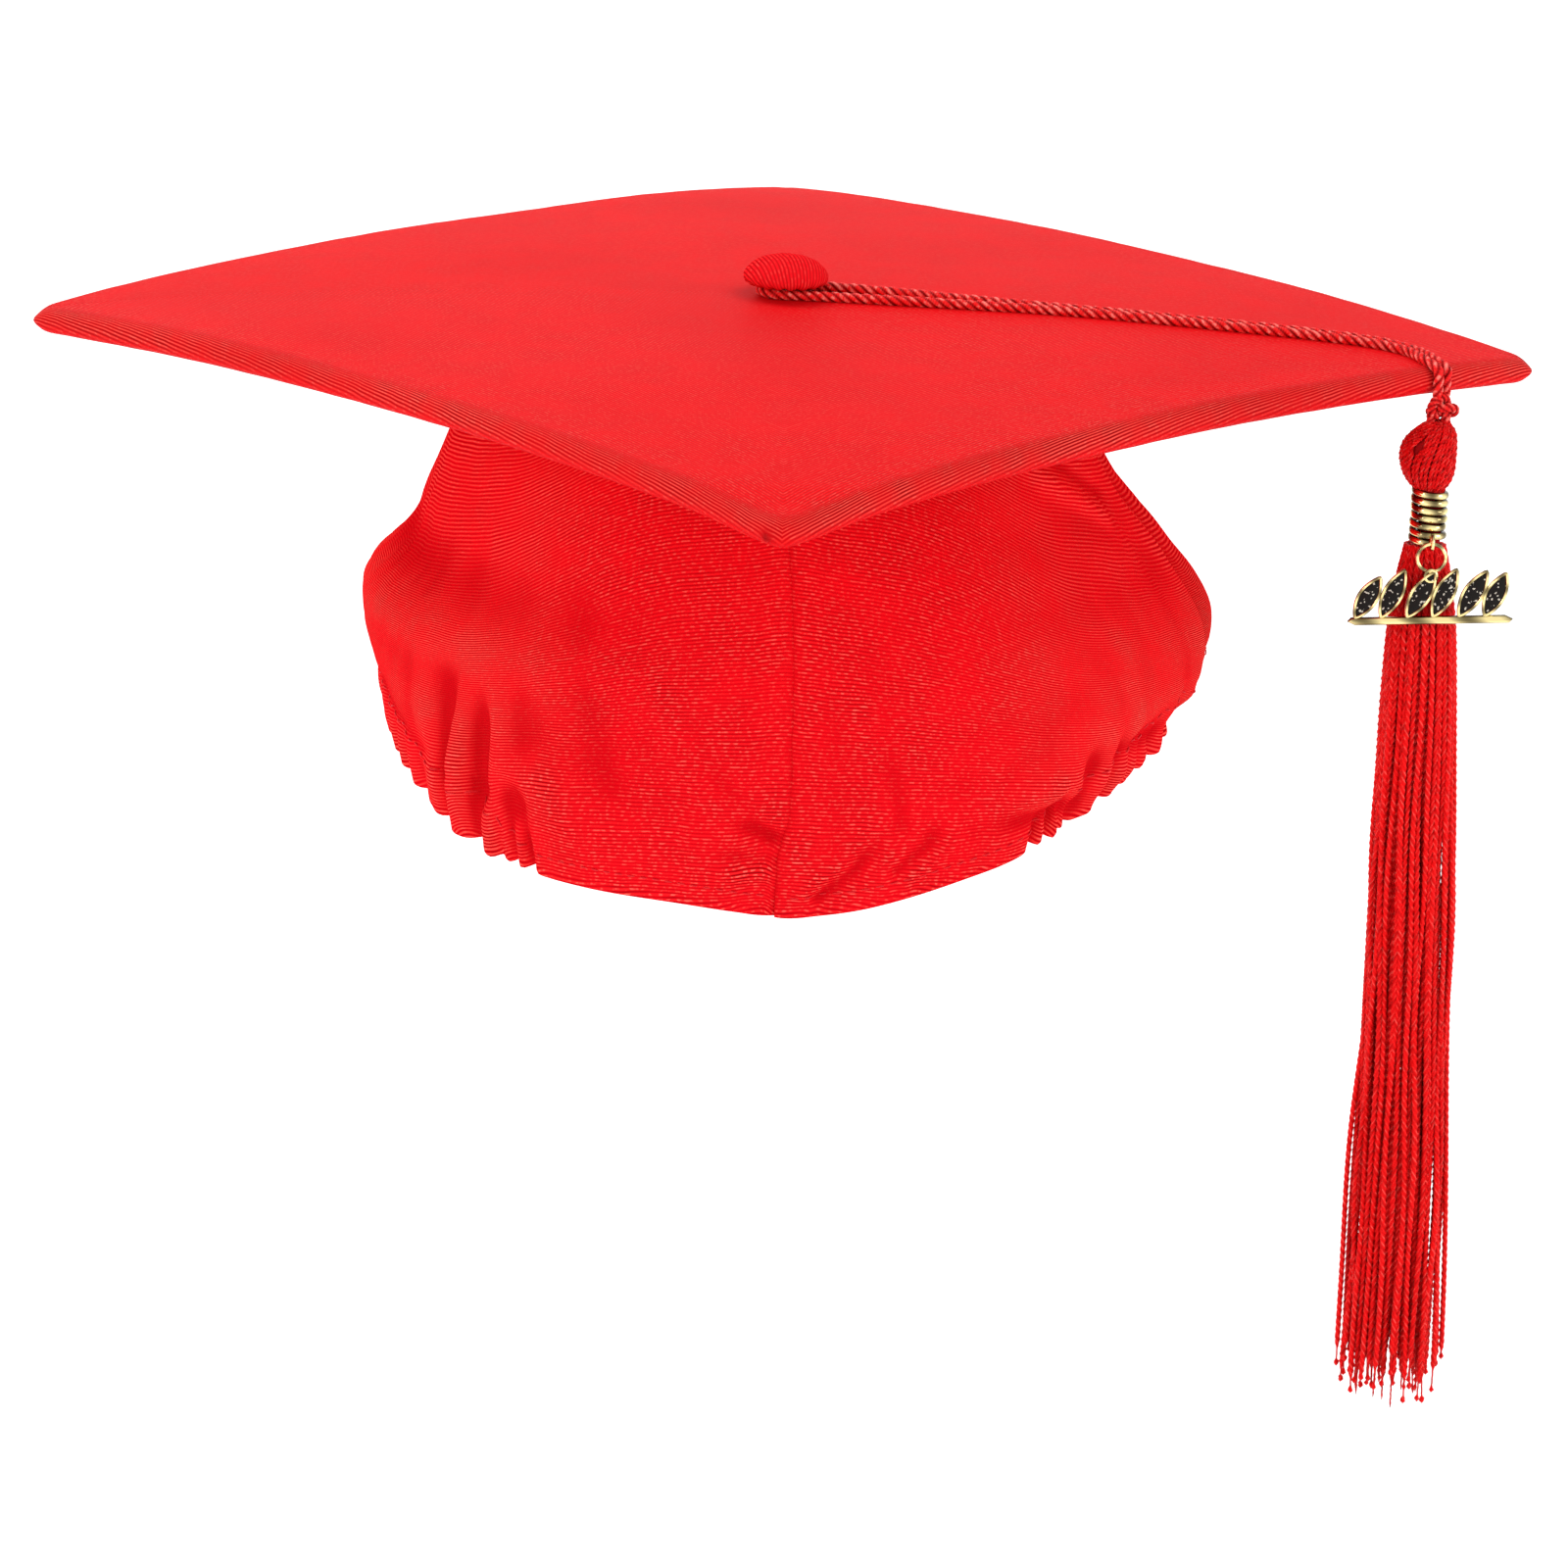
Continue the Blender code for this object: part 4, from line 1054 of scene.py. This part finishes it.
def strand(body, draw, turn, reach, radius, way, spacing, stray=0.0):
    """One hanging strand, twisted one way or the other, with a thin tail and a knot at its end."""
    end = draw.uniform(-237.5, -229.5)
    tail = draw.uniform(2.5, 10.0)
    z = np.arange(SKIRT_TOP_Z + 1.5, end - tail, -spacing)
    run = SKIRT_TOP_Z - z
    width = reach * skirt_width(np.maximum(z, SKIRT_BOTTOM_Z))
    wander = waves(int(draw.integers(1e6)), 3, 60, 190)
    sway = waves(int(draw.integers(1e6)), 3, 50, 160)
    free = 0.55 * step(5, 80, run)
    x = width * math.cos(turn) + wander(z) * free + stray * step(90, 190, run) + skirt_middle(z)
    y = width * SKIRT_FLAT * math.sin(turn) + sway(z) * free
    past = np.clip(end - z, 0, None)
    size = radius * (0.8 + 0.2 * step(0, 25, run)) * (1 - 0.68 * step(0, 2.2, past))
    from_knot = (past - (tail - 0.9)) / 0.95
    size = np.maximum(size, 0.72 * np.sqrt(np.clip(1 - from_knot**2, 0, 1)))
    size[-1] = 0.12
    plies, phase = np.array([1.0, 0.76] * 3), draw.uniform(0, TAU)
    body.tube(HANG + join(x, y, z), size, 6, plies, way * TAU / STRAND_LAY, phase=phase)


def make_skirt():
    """The skirt's strands: a ring outside, two rings inside."""
    draw = np.random.default_rng(7)
    outer, inner = Surface(), Surface()
    count = 40
    for n in range(count):
        turn = TAU * (n + draw.uniform(-0.2, 0.2)) / count
        reach = draw.uniform(0.86, 0.95)
        strand(outer, draw, turn, reach, 0.70, 1 if n % 2 else -1, 0.6, STRAYS.get(n, 0.0))
    outer.make("skirt_strands_outer", "strand", "tassel", [f"strands_outer_{n:02d}" for n in range(1, 11)])
    for reach, count in ((0.62, 22), (0.32, 10)):
        for n in range(count):
            turn = TAU * (n + draw.uniform(-0.3, 0.3)) / count
            strand(inner, draw, turn, reach, 0.82, 1, 1.1)
    inner.make("skirt_strands_inner", "strand", "tassel", [f"strands_inner_{n:02d}" for n in range(1, 5)])


HEAD_PROFILE = (
    (-28.2, 2.9), (-26.0, 3.1), (-24.6, 4.2), (-22, 5.4), (-18.8, 5.8), (-15.7, 5.5), (-13.2, 4.4),
    (-11.5, 2.7), (-10.7, 1.5),
)
HEAD_LOW_Z = -28.2
HEAD_FLAT = 0.92


def head_middle(z):
    """The head leans: its top is over the cord, its belly further to the wearer's right."""
    return -0.5 - 1.1 * hump(z + 19, 6.5) + 0.9 * step(-16, -10.5, z)


def make_head():
    """The head: strands folded over the cord's loop, gathered at the neck, round a soft core."""
    draw = np.random.default_rng(21)
    body, core = Surface(), Surface()
    count = 34
    hole = math.radians(-122)
    z = np.linspace(HEAD_LOW_Z, -10.9, 34)
    up = (z - z[0]) / (z[-1] - z[0])
    size = [*(0.62 * (0.72 + 0.28 * hump(z + 19, 8.0))), 0.4, 0.35]
    tip = HANG + np.array([(0.5, 0.0, -11.6)])
    for n in range(count):
        turn = TAU * (n + draw.uniform(-0.15, 0.15)) / count
        r = through(HEAD_PROFILE, z) + draw.uniform(-0.12, 0.2)
        lean = turn + 0.5 * step(0.1, 1.0, up)
        apart = (lean - hole + math.pi) % TAU - math.pi
        lean = lean + np.sign(apart) * 0.2 * hump(apart, 0.36) * hump(z + 15.8, 1.5)
        line = HANG + join(r * np.cos(lean) + head_middle(z), HEAD_FLAT * r * np.sin(lean), z)
        line = np.concatenate([line, line[-1:] * 0.45 + tip * 0.55 + (0, 0, 0.15), tip], 0)
        body.tube(line, size, 6, np.array([1.0, 0.78] * 3), TAU / 4.2, phase=draw.uniform(0, TAU))
    body.make("head_strands", "strand", "tassel", ["tassel_head"])
    z = np.linspace(HEAD_LOW_Z, -11.4, 24)[:, None]
    r = np.maximum(through(HEAD_PROFILE, z) - 0.6, 0.3)
    turn = circle(28)
    points = HANG + join(r * np.cos(turn) + head_middle(z), HEAD_FLAT * r * np.sin(turn), z)
    core.grid(points, ends=True)
    core.make("head_core", "core", "tassel")


WRAP_TURNS, WRAP_RADIUS = 6.4, 3.62
WRAP_TOP_Z, WRAP_LOW_Z = -26.3, -38.0
WIRE_HALF = (0.64, 0.82)


def make_wrap():
    """Flattened gold wire wound round the neck, its tail drawn out into an eye."""
    share = np.linspace(0, 1, 330)[:, None]
    angle = -math.pi / 2 + TAU * WRAP_TURNS * (share - 1)
    around = circle(12)
    z = WRAP_TOP_Z + (WRAP_LOW_Z - WRAP_TOP_Z) * share + 0.07 * waves(31, 4, 0.09, 0.3)(share)
    r = WRAP_RADIUS + 0.12 * waves(32, 3, 0.15, 0.5)(share) + WIRE_HALF[0] * np.cos(around)
    points = join(r * np.cos(angle), r * np.sin(angle), z + WIRE_HALF[1] * np.sin(around))
    # crest paints the wire's outer face bright and its top, bottom and inner faces near black: painted
    # highlight and shade; the run along it sets the painted reflection stripes
    crest = np.clip(np.cos(around), 0, 1) ** 0.9
    body = Surface()
    body.grid(points + HANG + (-0.5, 0, 0), join(crest, angle * WRAP_RADIUS, 0), ends=True)
    body.make("neck_wire", "gold", "tassel", ["wire_wrap"], sharp=50)
    forward, level, size, wire = EYE
    turn = np.linspace(math.radians(70), math.radians(385), 40)
    eye = join(0, -forward + size * np.cos(turn), level + size * np.sin(turn))
    stem = [(0.1, -3.3, -36.2), (0.1, -4.1, -35.9), (0.05, -5.1, -35.55)]
    body = Surface()
    body.tube(HANG + np.concatenate([stem, eye], 0), wire, 10)
    body.make("neck_wire_eye", "gold", "tassel", ["wire_eye"])


# The stem's height and size, and the leaves' pitch, length and half width
STEM = (-54.8, 1.7, 37.0)
LEAF = (5.8, 13.4, 2.4)
CHARM_TURN = math.radians(3.0)


def leaf_outline(lean, length, inset):
    """Points round a pointed leaf, from its root at (0, 0)."""
    share = np.concatenate([np.linspace(0, 1, 12, endpoint=False), np.linspace(1, 0, 12, endpoint=False)])
    out = np.repeat((1, -1), 12) * (LEAF[2] - inset) * np.sin(math.pi * share) ** 0.8
    reach = 2.2 * inset + share * (length - 4.4 * inset)
    return join(math.sin(lean) * reach + math.cos(lean) * out, math.cos(lean) * reach - math.sin(lean) * out)


def in_charm(flat, forward):
    """Places in the charm's plane, and so far in front of its middle, turned a little on its ring."""
    level = RING[1] - RING[2]
    x, rise = flat[..., 0], flat[..., 1] + STEM[0] - level
    turned_x = x * math.cos(CHARM_TURN) - rise * math.sin(CHARM_TURN)
    turned_z = level + rise * math.cos(CHARM_TURN) + x * math.sin(CHARM_TURN)
    return HANG + join(turned_x, -RING[0] - forward, turned_z)


def slab(body, outline, back, front, bevel, crest=1.0):
    """A flat piece with bevelled edges, from an outline in the charm's plane."""
    ahead = unit(np.roll(outline, -1, 0) - np.roll(outline, 1, 0))
    away = join(ahead[:, 1], -ahead[:, 0])
    if ((outline - outline.mean(0)) * away).sum() < 0:
        away = -away
    rings = ((back, bevel, 0.25), (back + bevel, 0, 0.25), (front - bevel, 0, 0.45), (front, bevel, crest))
    points = np.array([in_charm(outline - away * inset, level) for level, inset, _ in rings])
    # The shine numbers paint shade on the back and sides and a highlight on the front bevel; the run along
    # the outline sets the gold's painted reflection stripes
    shine = np.array([mark for _, _, mark in rings])[:, None]
    body.grid(points, join(shine, 0.4 * outline.sum(1), 0), ends=True)


def make_charm():
    """The laurel sprig: a gold stem and leaf rims with black glitter enamel, on its own ring."""
    gold_body, enamel = Surface(), Surface()
    tall, half = STEM[1] / 2, STEM[2] / 2
    pitch, leaf_length, _ = LEAF
    stem = np.array([(-half, 0), (-half + tall, tall), (half - 2 * tall, tall), (half, 0),
                     (half - tall, -tall), (-half + 2 * tall, -tall)])
    slab(gold_body, stem, -0.75, 0.75, 0.3)
    for n in range(6):
        lean = math.radians(26 if n % 2 else 31)
        length = leaf_length - (1.2 if n in (0, 5) else 0)
        root = np.array(((n - 2.96) * pitch, 0.2))
        slab(gold_body, leaf_outline(lean, length, 0.2) + root, -0.74, 0.2, 0.2, 0.3)
        rim = in_charm(leaf_outline(lean, length, 0.32) + root, 0.28)
        gold_body.tube(route(np.concatenate([rim, rim[:1]]), 0.35), 0.38, 8)
        slab(enamel, leaf_outline(lean, length, 0.62) + root, 0.1, 0.56, 0.12)
    forward, level, size, wire = RING
    turn = circle(48)
    x, z = (size + 0.15) * np.cos(turn), (size + 0.15) * np.sin(turn)
    gold_body.tube(HANG + join(x, -forward, level + z), wire, 10, closed=True)
    eyelet = join(1.35 * np.cos(turn), level - size - 0.9 - STEM[0] + 1.35 * np.sin(turn))
    slab(gold_body, eyelet, -0.7, 0.3, 0.2, 0.6)
    gold_body.tube(in_charm(eyelet * 0.98, 0.3), 0.36, 8, closed=True)
    gold_body.make("charm_gold", "gold", "charm", ["charm_frame"], sharp=50)
    enamel.make("charm_enamel", "enamel", "charm", [f"enamel_leaf_{n}" for n in range(1, 7)], sharp=50)


make_skirt()
make_head()
make_wrap()
make_charm()

# ---- finish

CAD_LOOKS = {
    "crown_panel": "inside", "board_stiffener": "card", "board_padding": "wadding", "button_shell": "steel",
    "button_back": "steel", "button_rivet": "steel", "retaining_washer": "steel", "tassel_neck": "core",
}
for node, look in CAD_LOOKS.items():
    nodes[node].data.materials.clear()
    nodes[node].data.materials.append(LOOKS[look])
